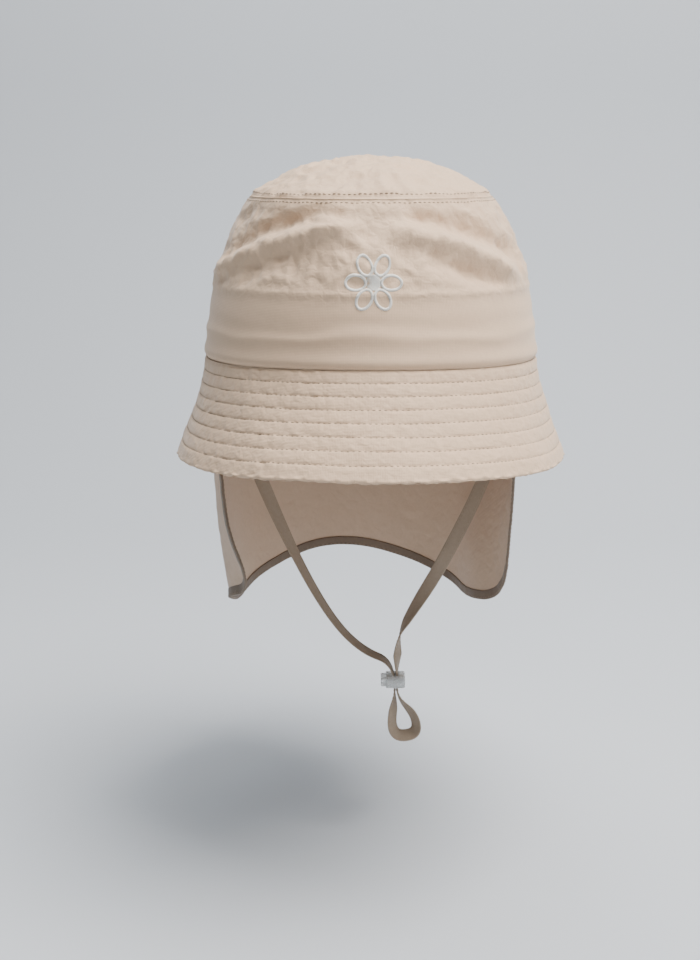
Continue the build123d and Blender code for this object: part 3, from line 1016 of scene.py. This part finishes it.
    def stitching(self) -> list[bpy.types.Object]:
        """Sew the row on each side of the tip's seam and the sweatband's two rows."""
        rows = [self.wall_line(self.seam_height - 1.9 * MM), self.tip_line(1 - 1.9 * MM / self.tip_half)]
        band = [self.band_line(2.2 * MM), self.band_line(self.band_height - 2 * MM)]
        sewn = (stitch_run("tip_topstitching", rows, 2.4 * MM, 0.46 * MM),
                stitch_run("sweatband_stitching", band, 2.6 * MM, 0.36 * MM))
        return [fit(piece, SEWING, "embroidery_thread") for piece in sewn]

    def embroidery(self) -> list[bpy.types.Object]:
        """Sew the daisy: a loop of satin stitch for each petal and a filled middle."""
        low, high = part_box("embroidered_flower")
        centre = float(low[2] + high[2]) / 2
        spread = float(high[0] - low[0]) / 2
        long, orbit = spread * 0.377, spread * 0.623
        wide = long * 0.72
        petals, satin_half = 6, 0.45 * MM
        angle = np.linspace(0, 2 * math.pi, 241)
        out = orbit + (long - satin_half) * np.cos(angle)
        over = (wide - satin_half) * np.sin(angle)
        runs = []
        for turn in (2 * math.pi * k / petals for k in range(petals)):
            outline = np.stack([out * math.cos(turn) - over * math.sin(turn),
                                out * math.sin(turn) + over * math.cos(turn)], axis=-1)
            runs.append(self.satin(outline, 1.35 * MM, centre))
        disc = (orbit - long) * 1.05
        for row in np.linspace(-1, 1, 26)[1:-1]:
            half = disc * math.sqrt(1 - row * row)
            runs.append(self.on_wall(np.array([[-half, disc * row], [half, disc * row]]), centre))
        return [fit(satin_mesh("embroidered_daisy", runs, 0.3 * MM), EMBROIDERY, "embroidery_thread",
                    "embroidered_flower")]

    def on_wall(self, flat: np.ndarray, centre: float) -> tuple[np.ndarray, np.ndarray]:
        """Lay the two ends of a thread on the front wall; flat holds sideways and upward distances."""
        turn = np.arcsin(np.clip(flat[:, 0] / self.half_width, -1, 1))
        rise = centre + flat[:, 1]
        _, normal = self.wall_base(turn, rise, 0.0)
        return self.wall(turn, rise), normal

    def satin(self, outline: np.ndarray, width: float, centre: float) -> tuple[np.ndarray, np.ndarray]:
        """Return threads laid across an outline, a little slanted, as pairs of ends with their normals."""
        points = evenly(outline, int(along(outline)[-1] / (0.27 * MM)))
        run = unit(np.gradient(points, axis=0))
        side = np.stack([-run[:, 1], run[:, 0]], axis=-1)
        slant = side * width / 2 + run * width * 0.16
        ends = np.stack([points - slant, points + slant], axis=1).reshape(-1, 2)
        return self.on_wall(ends, centre)


def disc_grid(size: int) -> np.ndarray:
    """Spread a square grid over a disc of radius 1: each coordinate shrinks with the other one's square."""
    u, v = np.meshgrid(np.linspace(-1, 1, size), np.linspace(-1, 1, size))
    return np.stack([u * np.sqrt(1 - v**2 / 2), v * np.sqrt(1 - u**2 / 2)], axis=-1)


UNDER_TURN = 7.0


@dataclass
class Brim:
    """The brim: top and under plies in two halves, interlining and seven rows of stitching."""

    half_width: float = measured("crown_side_front", 1, 0)
    half_depth: float = measured("crown_side_front", 0, 1, -1.0)
    edge_width: float = measured("brim_top_front", 1, 0)
    edge_depth: float = measured("brim_top_front", 0, 1, -1.0)
    side_drop: float = measured("brim_top_front", 0, 2, -1.0)
    front_drop: float = 42.0 * MM
    rows: int = 7
    roll: float = 1.0 * MM
    ply: float = 0.35 * MM
    body: float = 1.5 * MM
    crinkle: Crinkle = field(default_factory=lambda: Crinkle(23))

    def place(self, turn: np.ndarray, share: np.ndarray, inset: float = 0.0) -> np.ndarray:
        """Return places on the brim's smooth top face.

        From the seam the brim first falls almost straight, then flares: the outward reach grows like the
        share to a power. The edge hangs lowest at the sides, by the square of the sine of the turn.

        Args:
            turn: turns about the hat, in radians.
            share: 0 at the seam to 1 at the edge.
            inset: how far inside the top face.

        Returns:
            Places with x, y, z last.
        """
        sideways = np.sin(turn) ** 2
        drop = self.front_drop + (self.side_drop - self.front_drop) * sideways - self.roll
        flare = share ** (1.22 + 0.25 * sideways)
        reach_x = self.half_width - inset + (self.edge_width - self.roll - self.half_width) * flare
        reach_y = self.half_depth - inset + (self.edge_depth - self.roll - self.half_depth) * flare
        sway = self.crinkle.smooth(np.stack([np.sin(turn), np.cos(turn), 0 * turn], axis=-1), 0.8) * 2.2 * MM
        lift = sway * share**2 + front_lift(turn) * (1 - 0.55 * share)
        return np.stack([reach_x * np.sin(turn), -reach_y * np.cos(turn), lift - drop * share], axis=-1)

    def normal(self, turn: np.ndarray, share: np.ndarray) -> np.ndarray:
        """Return outward unit normals of the smooth brim, from small steps along and down it."""
        step = 1e-4
        run = self.place(turn + step, share) - self.place(turn - step, share)
        fall = self.place(turn, share + step) - self.place(turn, np.maximum(share - step, 0.0))
        return -across(run, fall)

    def slow(self, turn: np.ndarray, share: np.ndarray) -> np.ndarray:
        """Return the slow swell that both plies share, in millimetres."""
        return self.crinkle.smooth(self.place(turn, share), 30 * MM) * 1.2 * ease(0.1, 0.4, share)

    def pillow(self, turn: np.ndarray, share: np.ndarray, fine: float = 1.0) -> np.ndarray:
        """Return how far a ply swells: half round between stitched rows, pinched in at each row.

        The swell follows the root of the distance to the nearest row, puckers run along each row, and
        creases cover the rest.

        Args:
            turn: turns about the hat, in radians.
            share: 0 at the seam to 1 at the edge.
            fine: share of the puckers and creases.

        Returns:
            Heights in metres.
        """
        phase = share * (self.rows + 1)
        lane = np.abs(phase - np.round(phase)) * 2
        inner = (phase > 0.5) & (phase < self.rows + 0.5)
        swell = np.where(inner, np.sqrt(np.clip(1 - (1 - lane) ** 2, 0, 1)), 1.0)
        swell = np.where(phase <= 0.5, ease(0.0, 0.35, phase), swell)
        swell = swell * (1 - 0.75 * ease(self.rows + 0.1, self.rows + 1.0, phase))
        spot = self.place(turn, share)
        lanes = np.floor(phase)[..., None] * np.array([0.013, 0.007, 0.011])
        puff = 0.72 + 0.3 * self.crinkle.smooth(spot * np.array([1, 1, 0.3]) + lanes, 14 * MM)
        pucker = self.crinkle.smooth(spot * np.array([1, 1, 0.35]) + lanes, 3.1 * MM)
        pucker = pucker * (0.25 + 0.75 * (1 - lane))
        crease = self.crinkle.creased(spot + lanes, 5.2 * MM) * 0.22
        crease = crease + self.crinkle.creased(spot, 2.6 * MM) * 0.1
        return (swell * puff * 0.8 + (pucker * 0.8 + crease) * fine + self.slow(turn, share)) * MM

    def top(self, turn: np.ndarray, share: np.ndarray, fine: float = 1.0) -> np.ndarray:
        """Return places on the top ply, swollen between its rows."""
        return self.place(turn, share) + self.normal(turn, share) * self.pillow(turn, share, fine)[..., None]

    def under(self, turn: np.ndarray, share: np.ndarray, fine: float = 1.0) -> np.ndarray:
        """Return places on the under ply: the mirror of the top one across the brim's body."""
        own, other = (self.slow(place, share) * MM for place in (turn, turn + UNDER_TURN))
        swell = self.pillow(turn + UNDER_TURN, share, fine) - other
        offset = own - swell - self.body
        return self.place(turn, share) + self.normal(turn, share) * offset[..., None]

    def rolled(self, turns: tuple[float, float], under: bool) -> np.ndarray:
        """Return a grid of one ply from the seam to the edge, with its half of the rolled edge.

        Past the last lane the ply follows a quarter circle round the edge to the middle of the body, where
        the other ply's quarter circle meets it.

        Args:
            turns: first and last turn.
            under: whether this is the under ply.

        Returns:
            The grid, lowest row first for the top ply and highest first for the under one.
        """
        columns = int(abs(turns[1] - turns[0]) * self.edge_depth / (1.3 * MM))
        share = np.linspace(0.0, 1.0, 73 if under else 113)
        turn, down = np.meshgrid(np.linspace(*turns, columns), share)
        flat = self.under(turn, down) if under else self.top(turn, down)
        other = self.top(turn[-1:], down[-1:]) if under else self.under(turn[-1:], down[-1:])
        half = (other - flat[-1:]) / 2
        middle = flat[-1:] + half
        fall = unit(flat[-1:] - flat[-2:-1]) * np.linalg.norm(half, axis=-1, keepdims=True)
        angle = np.linspace(0, math.pi / 2, 6)[1:]
        roll = middle - half * np.cos(angle)[:, None, None] + fall * np.sin(angle)[:, None, None]
        grid = np.concatenate([flat, roll])
        return grid if under else grid[::-1]

    def build(self) -> list[bpy.types.Object]:
        """Build and dress every piece of the brim."""
        made = []
        for name, turns in HALVES.items():
            for side, under in (("top", False), ("under", True)):
                ply = cloth_ply(f"brim_{side}_{name}_ply", self.rolled(turns, under), self.ply)
                made.append(fit(ply, BRIM, "brim_cloth", f"brim_{side}_{name}"))
        turn, share = np.meshgrid(np.linspace(*AROUND, 240), np.linspace(0.985, 0.02, 26))
        core_place = self.place(turn, share) - self.normal(turn, share) * (self.body * 0.4)
        core = cloth_ply("brim_stiffener", core_place, 0.4 * MM, closed=True)
        fit(core, FELT, "interlining_cloth", "brim_interlining")
        return [*made, core, *self.stitching()]

    def row(self, share: float, under: bool) -> tuple[np.ndarray, np.ndarray]:
        """Return one stitched row on a face of the brim, with its normals."""
        turn = np.linspace(*AROUND, 1500)
        level = np.full_like(turn, share)
        face = self.under if under else self.top
        normal = self.normal(turn, level)
        return face(turn, level), -normal if under else normal

    def stitching(self) -> list[bpy.types.Object]:
        """Sew the seven rows on both faces."""
        shares = [(k + 1) / (self.rows + 1) for k in range(self.rows)]
        made = []
        for name, under in (("brim_top_stitching", False), ("brim_under_stitching", True)):
            rows = [self.row(share, under) for share in shares]
            piece = stitch_run(name, rows, 2.6 * MM, 0.5 * MM, 0.66, 0.3)
            made.append(fit(piece, SEWING, "embroidery_thread"))
        return made


DRAPE_WAVES = ((3, 0.6, 1.5), (5, -0.9, 1.3), (9, 0.4, 0.5))
DRAPE_BILLOW, DRAPE_CREASE, DRAPE_FINE = Wrinkle(26, 2.0, sharp=False), Wrinkle(9, 0.28), Wrinkle(4.5, 0.12)
HINGE_ZONE = 75 * MM


@dataclass
class Flap:
    """The neck flap: one thin ply sewn in at the back of the seam, with bound edges."""

    top_half: float = measured("neck_flap", 1, 0)
    top_depth: float = measured("neck_flap", 1, 1)
    top: float = measured("neck_flap", 1, 2)
    low: float = measured("flap_binding", 0, 2)
    low_half: float = 71.5 * MM
    low_depth: float = 84.5 * MM
    front_top: float = -30.0 * MM
    front_low: float = -21.0 * MM
    front_rise: float = 8.0 * MM
    back_rise: float = 16.0 * MM
    ply: float = 0.3 * MM
    binding_width: float = 5.0 * MM
    left_corner: float = 13.0 * MM
    left_rise: float = 15.0 * MM
    rise_from: float = 62.0 * MM
    left_curl: float = 12.0 * MM
    right_corner: float = 22.0 * MM
    twist: float = math.radians(12.0)
    hollow: float = 10.5 * MM
    hollow_turn: float = math.radians(112.0)
    hollow_spread: float = math.radians(19.0)
    cut: tuple[float, float] = (0.321, 0.133)
    cut_area: float = 0.0380
    crinkle: Crinkle = field(default_factory=lambda: Crinkle(37))

    def hem(self, y: np.ndarray) -> np.ndarray:
        """Return the height of the bottom edge over the y axis: an arc, lowest behind the ears."""
        middle = (self.front_low + self.low_depth) / 2
        half = (self.low_depth - self.front_low) / 2
        share = (y - middle) / half
        ends = (self.front_rise + self.back_rise) / 2 + share * (self.back_rise - self.front_rise) / 2
        return self.low + ends * share**2

    def place(self, across_share: np.ndarray, down: np.ndarray) -> np.ndarray:
        """Return places on the flap's outer face.

        The flap follows an oval that narrows a little downwards and turns about the upright as it falls. The
        front edges slope back, and the corners are rounded by a quarter circle.

        Args:
            across_share: -1 at the left front edge, 0 at the middle of the back, 1 at the right front edge.
            down: 0 at the seam to 1 at the hem.

        Returns:
            Places with x, y, z last.
        """
        sign = np.sign(across_share)
        side = np.abs(across_share)
        corner = np.where(sign < 0, self.left_corner, self.right_corner)
        low_turn = math.acos(-self.front_low / self.low_depth)
        turn_low = low_turn + (math.pi - low_turn) * (1 - side)
        past = (turn_low - low_turn) * (self.low_half + self.low_depth) / 2
        from_edge = np.clip(past / corner, 0, 1)
        rounding = corner * (1 - np.sqrt(np.clip(1 - (1 - from_edge) ** 2, 0, 1)))
        y_low = -self.low_depth * np.cos(turn_low)
        forward = ease(0.0, 1.0, (self.rise_from - y_low) / (self.rise_from - self.front_low))
        hem = self.hem(y_low) + rounding + np.where(sign < 0, self.left_rise, 0.0) * forward
        z = self.top + (hem - self.top) * down
        fall = np.clip((self.top - z) / (self.top - self.low), 0, 1)
        half = self.top_half + (self.low_half - self.top_half) * fall
        depth = self.top_depth + (self.low_depth - self.top_depth) * fall
        edge = self.front_top + (self.front_low - self.front_top) * fall
        edge_turn = np.arccos(np.clip(-edge / depth, -1, 1))
        turn = edge_turn + (math.pi - edge_turn) * (1 - side)
        angle = np.where(sign < 0, -turn, turn) + self.twist * ease(0.05, 1.0, fall)
        point = np.stack([half * np.sin(angle), -depth * np.cos(angle), z], axis=-1)
        outward = unit(np.stack([np.sin(angle), -np.cos(angle), 0 * angle], axis=-1))
        hollow = self.hollow * bell(angle - self.hollow_turn, self.hollow_spread) * ease(0.3, 1.0, fall)
        behind = (turn - edge_turn) * (half + depth) / 2
        curl = np.where(sign < 0, self.left_curl, 0.0) * (1 - ease(0.0, 30 * MM, behind))
        curl = curl * ease(0.55, 1.0, fall)
        swing = self.drape(angle, fall, point) - hollow - curl
        return point + outward * swing[..., None] + self.lean(fall, angle)

    def lean(self, fall: np.ndarray, angle: np.ndarray) -> np.ndarray:
        """Return how the hanging cloth sways to the left and bows out at its sides."""
        bow = np.sin(np.clip(fall, 0, 1) * math.pi) * 3.0 * MM * (np.minimum(np.sin(angle), 0) * 0.3 - 0.6)
        return np.stack([-1.6 * MM * ease(0.05, 0.7, fall) + bow, 0 * fall, 0 * fall], axis=-1)

    def drape(self, angle: np.ndarray, fall: np.ndarray, point: np.ndarray) -> np.ndarray:
        """Return the outward swing of the folds, which open up downwards, and the cloth's fine creases."""
        folds = sum(np.cos(count * angle + start) * height for count, start, height in DRAPE_WAVES) * MM
        slow = DRAPE_BILLOW.on(self.crinkle, point * np.array([1, 1, 0.45]))
        fine = DRAPE_CREASE.on(self.crinkle, point) + DRAPE_FINE.on(self.crinkle, point)
        return (folds + slow) * ease(0.08, 0.9, fall) + fine * ease(0.0, 0.1, fall)

    def edge_line(self) -> tuple[np.ndarray, np.ndarray, np.ndarray]:
        """Return the free edge as a line, with directions into the cloth and out of it.

        The line runs down the left front edge, along the hem and up the right front edge.

        Returns:
            Places, inward directions in the cloth and outward normals.
        """
        count, first = 150, 0.035
        down = np.linspace(first, 1, count)
        over = -np.cos(np.linspace(0, math.pi, 6 * count))[1:-1]
        line = self.place(np.concatenate([-np.ones(count), over, np.ones(count)]),
                          np.concatenate([down, np.ones(len(over)), down[::-1]]))
        apart = np.linalg.norm(np.diff(line, axis=0), axis=1) > 1e-6
        even = evenly(line[np.concatenate([[True], apart])], 520)
        run = unit(np.gradient(even, axis=0))
        turn = np.arctan2(even[:, 0] / self.low_half, -even[:, 1] / self.low_depth)
        out = [np.sin(turn) * self.low_depth, -np.cos(turn) * self.low_half, 0 * turn]
        out = unit(np.stack(out, axis=-1))
        inward = unit(np.cross(out, run))
        return even, inward, across(run, inward)

    def build(self) -> list[bpy.types.Object]:
        """Build and dress the flap, its binding and the binding's stitching."""
        columns, rows = 330, 116
        close_at_ends = -np.cos(np.linspace(0, math.pi, columns))
        u, v = np.meshgrid(close_at_ends * 0.35 + np.linspace(-1, 1, columns) * 0.65, np.linspace(1, 0, rows))
        u = np.where(np.abs(u) < 1e-9, 1e-9, u)
        points = self.place(u, v)
        sheet = cloth_ply("neck_flap_sheet", points, self.ply)
        line, inward, out = self.edge_line()
        outline = rounded_outline(self.binding_width, 1.15 * MM, 0.5 * MM, 4)
        outline[:, 0] += self.binding_width / 2 - 0.4 * MM
        binding = swept("flap_edge_binding", line, inward, out, outline)
        inner_edge = line + inward * (self.binding_width - 1.3 * MM)
        runs = [(inner_edge + out * side * 0.6 * MM, out * side) for side in (1, -1)]
        stitches = stitch_run("flap_binding_stitching", runs, 2.4 * MM, 0.32 * MM)
        # FLAP's darker colours hold painted shade for the flap's shaded inside.
        for piece, finish, slot in ((sheet, FLAP, "flap_cloth"), (binding, BINDING, "binding_cloth"),
                                    (stitches, SEWING, "embroidery_thread")):
            dress(piece, finish)
            self.top - HINGE_ZONE
            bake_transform(piece)
        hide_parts("neck_flap")
        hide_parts("flap_binding")
        return [sheet, binding, stitches]


Twist = Callable[[np.ndarray], np.ndarray]
TACK_PATH = np.array([[-1, 0.15], [1, 0.15], [1, 0.85], [-1, 0.85], [-1, 0.15], [1, 0.85], [1, 0.15],
                      [-1, 0.85]])


@dataclass
class Strap:
    """The chin strap: one flat tape with a run on each side and a loop below the stopper."""

    width: float = 7.0 * MM
    thickness: float = 0.8 * MM
    left_route: tuple = (
        (-78.1, -1.6), (-62.5, -51.0), (-39.0, -107.0), (-20.0, -141.5), (-4.0, -158.5), (13.4, -165.5),
        (13.4, -178.75),
    )
    loop_route: tuple = (
        (13.4, -178.75), (13.4, -184.0), (11.2, -207.0), (25.5, -206.5), (24.8, -195.5), (14.6, -184.5),
        (14.6, -178.75),
    )
    right_route: tuple = (
        (78.1, -1.6), (64.0, -55.0), (38.5, -110.0), (21.0, -139.0), (15.2, -150.0), (14.6, -165.0),
        (14.6, -178.75),
    )
    left_length: float = 0.2048
    loop_length: float = 0.0679
    right_length: float = 0.1906

    @staticmethod
    def spot(point: tuple[float, float]) -> tuple[float, float, float]:
        """Return the place in metres of a route's (x, z) point."""
        return point[0] * MM, 0.0, point[1] * MM

    def centre_line(self, name: str, route: tuple) -> np.ndarray:
        """Return the line of a smooth curve with a route's points as its control points.

        Args:
            name: name for the guide curve, which is removed again.
            route: (x, z) points in millimetres.

        Returns:
            Places along the curve.
        """
        guide = bpy.data.curves.new(name + "_guide", "CURVE")
        guide.dimensions = "3D"
        guide.resolution_u = 24
        spline = guide.splines.new("NURBS")
        spline.points.add(len(route) - 1)
        for point, (x, z) in zip(spline.points, route):
            point.co = (x * MM, 0.0, z * MM, 1.0)
        spline.order_u = 3
        spline.use_endpoint_u = True
        holder = bpy.data.objects.new(name + "_guide", guide)
        mesh = bpy.data.meshes.new_from_object(holder)
        points = np.array([vertex.co[:] for vertex in mesh.vertices])
        bpy.data.objects.remove(holder)
        bpy.data.meshes.remove(mesh)
        return evenly(points, int(along(points)[-1] / MM))

    @staticmethod
    def directions(line: np.ndarray, twist: Twist) -> tuple[np.ndarray, np.ndarray]:
        """Return the way along the tape's width and the way out of its face.

        The width points along +Y turned by the twist about the line, so at a quarter turn the tape's face
        looks forward.

        Args:
            line: places along the tape.
            twist: gives the turn in radians for each height.

        Returns:
            Unit vectors along the width and out of the face.
        """
        run = unit(np.gradient(line, axis=0))
        depth = np.broadcast_to(np.array([0.0, 1.0, 0.0]), run.shape)
        angle = twist(line[:, 2])[:, None]
        side = depth * np.cos(angle) + across(run, depth) * np.sin(angle)
        return side, np.cross(run, side)

    def tape(self, name: str, route: tuple, twist: Twist
             ) -> tuple[bpy.types.Object, bpy.types.Object, np.ndarray]:
        """Make one flat length of tape that twists as it goes, with a row of stitches near each edge.

        Args:
            name: name of the tape's piece.
            route: (x, z) points in millimetres.
            twist: gives the turn in radians for each height.

        Returns:
            The tape, the rows of stitches on both of its faces and the line that it follows.
        """
        line = self.centre_line(name, route)
        side, up = self.directions(line, twist)
        outline = rounded_outline(self.width, self.thickness, 0.38 * MM, 4)
        # STRAP's darker colours hold painted shade for the strap in the brim's shadow.
        tape = dress(swept(name, line, side, up, outline), STRAP)
        off = self.width / 2 - 1.1 * MM
        half = self.thickness / 2
        runs = [(line + side * off * s + up * half * t, up * t) for s in (-1, 1) for t in (-1, 1)]
        rows = dress(stitch_run(name + "_stitching", runs, 2.3 * MM, 0.28 * MM), SEWING)
        return tape, rows, line

    def build(self) -> list[bpy.types.Object]:
        """Build and dress both runs, the loop, the tacks and the rows of stitching."""
        def twist_by(heights: list[float], degrees: list[float]) -> Twist:
            return lambda z: np.radians(np.interp(z, np.array(heights) * MM, degrees))

        def loop_twist(z: np.ndarray) -> np.ndarray:
            return (1 - ease(-0.194, -0.180, z)) * 0.75

        left_twist = twist_by([-172, -159, -140, -108, -66, -45, -12], [0, 16, 22, 32, 72, 88, 0])
        right_twist = twist_by([-172, -161, -148, -142, -126, -112, -63, -45, -12],
                               [0, 40, 0, -25, -62, -84, -54, -62, 0])
        made = []
        stopper = ["stopper_barrel", "stopper_plunger", wind_spring()]
        for name, route, length, twist in (
                ("strap_left_run", self.left_route, self.left_length, left_twist),
                ("strap_right_run", self.right_route, self.right_length, right_twist)):
            tape, rows, line = self.tape(name, route, twist)
            for piece in (tape, rows):
                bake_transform(piece)
            made += [tape, rows]
        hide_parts("chin_strap")
        loop, rows, line = self.tape("strap_loop", self.loop_route, loop_twist)
        for piece in (loop, rows):
            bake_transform(piece)
        return [*made, loop, rows, *self.tacks()]

    def tacks(self) -> list[bpy.types.Object]:
        """Build the strap's sewn-down ends with a box of stitches on each."""
        made = []
        for side, node in ((-1, "strap_tack_left"), (1, "strap_tack_right")):
            low, high = (np.array(corner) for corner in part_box(node))
            middle = (low + high) / 2
            count = 9
            line = np.zeros((count, 3))
            line[:, 0], line[:, 2] = middle[0], np.linspace(low[2] + 0.1 * MM, high[2] - 0.1 * MM, count)
            wide, thick = (np.tile(np.array(way), (count, 1)) for way in ((0.0, 1.0, 0.0), (1.0, 0.0, 0.0)))
            outline = rounded_outline(self.width, self.thickness, 0.35 * MM)
            tab = swept(node + "_tab", line, wide, thick, outline)
            # The tab takes STRAP's colours, darkened with painted shade.
            fit(tab, STRAP, "strap_cloth", node)
            inner = middle[0] - side * (high[0] - low[0]) / 2
            reach = self.width / 2 - 1.2 * MM
            box = np.stack([np.full(len(TACK_PATH), inner), TACK_PATH[:, 0] * reach,
                            low[2] + (high[2] - low[2]) * TACK_PATH[:, 1]], axis=-1)
            normal = np.tile(np.array([-side, 0.0, 0.0]), (len(TACK_PATH), 1)).astype(float)
            bar = stitch_run(node + "_stitches", [(box, normal)], 1.3 * MM, 0.4 * MM, 0.85)
            made += [tab, fit(bar, SEWING, "embroidery_thread")]
        return made


def dress_stopper() -> None:
    """Give the stopper's barrel and plunger clear plastic."""
    for node in ("stopper_barrel", "stopper_plunger"):
        dress(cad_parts[node], PLASTIC)


def wind_spring() -> bpy.types.Object:
    """Wind the stopper's spring at one fixed length; the real spring shortens as the plunger goes in.

    The wire follows a helix: its length along +X grows with the turn, and y and z are the cosine and sine of
    the turn times the radius.

    Returns:
        The spring, dressed and tied to the cord stopper's body.
    """
    low, high = (np.array(corner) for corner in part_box("stopper_spring"))
    wire, turns, travel = 0.35 * MM, 2.5, 1.2 * MM
    middle = (low + high) / 2
    radius = (high[1] - low[1] - wire) / 2
    angle = np.linspace(0, 2 * math.pi * turns, 121)
    along_x = np.linspace(low[0] + wire / 2, high[0] - wire / 2, len(angle))
    out = np.stack([0 * angle, np.cos(angle), np.sin(angle)], axis=-1)
    line = np.stack([along_x, np.full_like(angle, middle[1]), np.full_like(angle, middle[2])], axis=-1)
    line = line + radius * out
    up = unit(np.cross(unit(np.gradient(line, axis=0)), out))
    ring = np.linspace(0, 2 * math.pi, 13)[:-1]
    outline = np.stack([np.cos(ring), np.sin(ring)], axis=-1) * wire / 2
    spring = swept("stopper_spring_coil", line, out, up, outline)
    fit(spring, STEEL, "spring_wire", "stopper_spring", body="cord_stopper")
    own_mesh(spring)
    return spring


# ---------------------------------------------------------------- stage, light and camera


@dataclass
class Studio:
    """A pale floor that rises into a backdrop, soft lights and the camera."""

    floor: float = -0.262
    depth: float = 0.62
    eye: tuple[float, float, float] = (-0.0104, -0.704, 0.094)
    pitch: float = math.radians(12.8)
    lens: float = 52.5

    def build(self) -> None:
        """Set up the stage, the lights, the world and the camera."""
        self.backdrop()
        middle = (0.0, 0.0, 0.0)
        lights = (("key", (0.50, -0.36, 1.32), middle, 0.9, 47.0, (1.0, 0.965, 0.93)),
                  ("top", (-0.12, 0.12, 1.6), middle, 1.0, 12.0, (0.97, 0.99, 1.0)),
                  ("right", (1.3, -0.6, 0.3), (0.0, 0.0, -0.02), 0.8, 2.2, (1.0, 0.97, 0.95)),
                  ("rear", (0.75, 1.15, 0.45), (0.0, 0.1, -0.08), 0.9, 9.0, (1.0, 0.98, 0.95)))
        for light in lights:
            self.light(*light)
        world = bpy.data.worlds.new("pale_air")
        world.use_nodes = True
        sky = world.node_tree.nodes["Background"]
        sky.inputs["Color"].default_value = (0.82, 0.89, 0.93, 1.0)
        sky.inputs["Strength"].default_value = 0.15
        bpy.context.scene.world = world
        lens = bpy.data.cameras.new("view")
        lens.lens = self.lens
        lens.sensor_width = 36.0
        camera = bpy.data.objects.new("view", lens)
        camera.location = self.eye
        camera.rotation_euler = (math.pi / 2 - self.pitch, 0.0, 0.0)
        bpy.context.scene.collection.objects.link(camera)
        bpy.context.scene.camera = camera

    def backdrop(self) -> None:
        """Build the floor: flat in front, then a quarter circle up into a wall behind."""
        radius = 0.45
        flat = np.linspace(-3.2, self.depth, 12)
        bend = np.linspace(0, math.pi / 2, 18)[1:]
        wall = np.linspace(self.floor + radius, 3.4, 10)[1:]
        rise = self.floor + radius * (1 - np.cos(bend))
        back = self.depth + radius
        y = np.concatenate([flat, self.depth + radius * np.sin(bend), np.full(len(wall), back)])
        z = np.concatenate([np.full(len(flat), self.floor), rise, wall])
        x = np.linspace(-4.0, 4.0, 12)
        grid = np.stack(np.broadcast_arrays(x[None, :], y[:, None], z[:, None]), axis=-1)
        sheet = fill_mesh("pale_backdrop", grid.reshape(-1, 3), grid_faces(len(y), len(x)))
        dress(sheet, BACKDROP)

    def light(self, name: str, place: tuple[float, float, float], target: tuple[float, float, float],
              size: float, power: float, colour: tuple[float, float, float]) -> None:
        """Add a soft square light that points at a target."""
        lamp = bpy.data.lights.new(name, "AREA")
        lamp.shape = "SQUARE"
        lamp.size = size
        lamp.energy = power
        lamp.color = colour
        holder = bpy.data.objects.new(name, lamp)
        holder.location = place
        gaze = np.array(target) - np.array(place)
        flat = float(np.hypot(gaze[0], gaze[1]))
        holder.rotation_euler = (math.atan2(flat, -gaze[2]), 0.0, math.atan2(gaze[1], gaze[0]) - SIDE)
        bpy.context.scene.collection.objects.link(holder)


def main() -> None:
    """Build the hat's looks round the frame, then the studio."""
    logging.basicConfig(level=logging.INFO, format="%(name)s %(message)s")
    for part in (Strap(), Crown(), Brim(), Flap()):
        for piece in part.build():
            LOG.info("%s: %d faces", piece.name, len(piece.data.polygons))
    dress_stopper()
    Studio().build()
    bpy.context.view_layer.update()


if __name__ == "__main__":
    main()
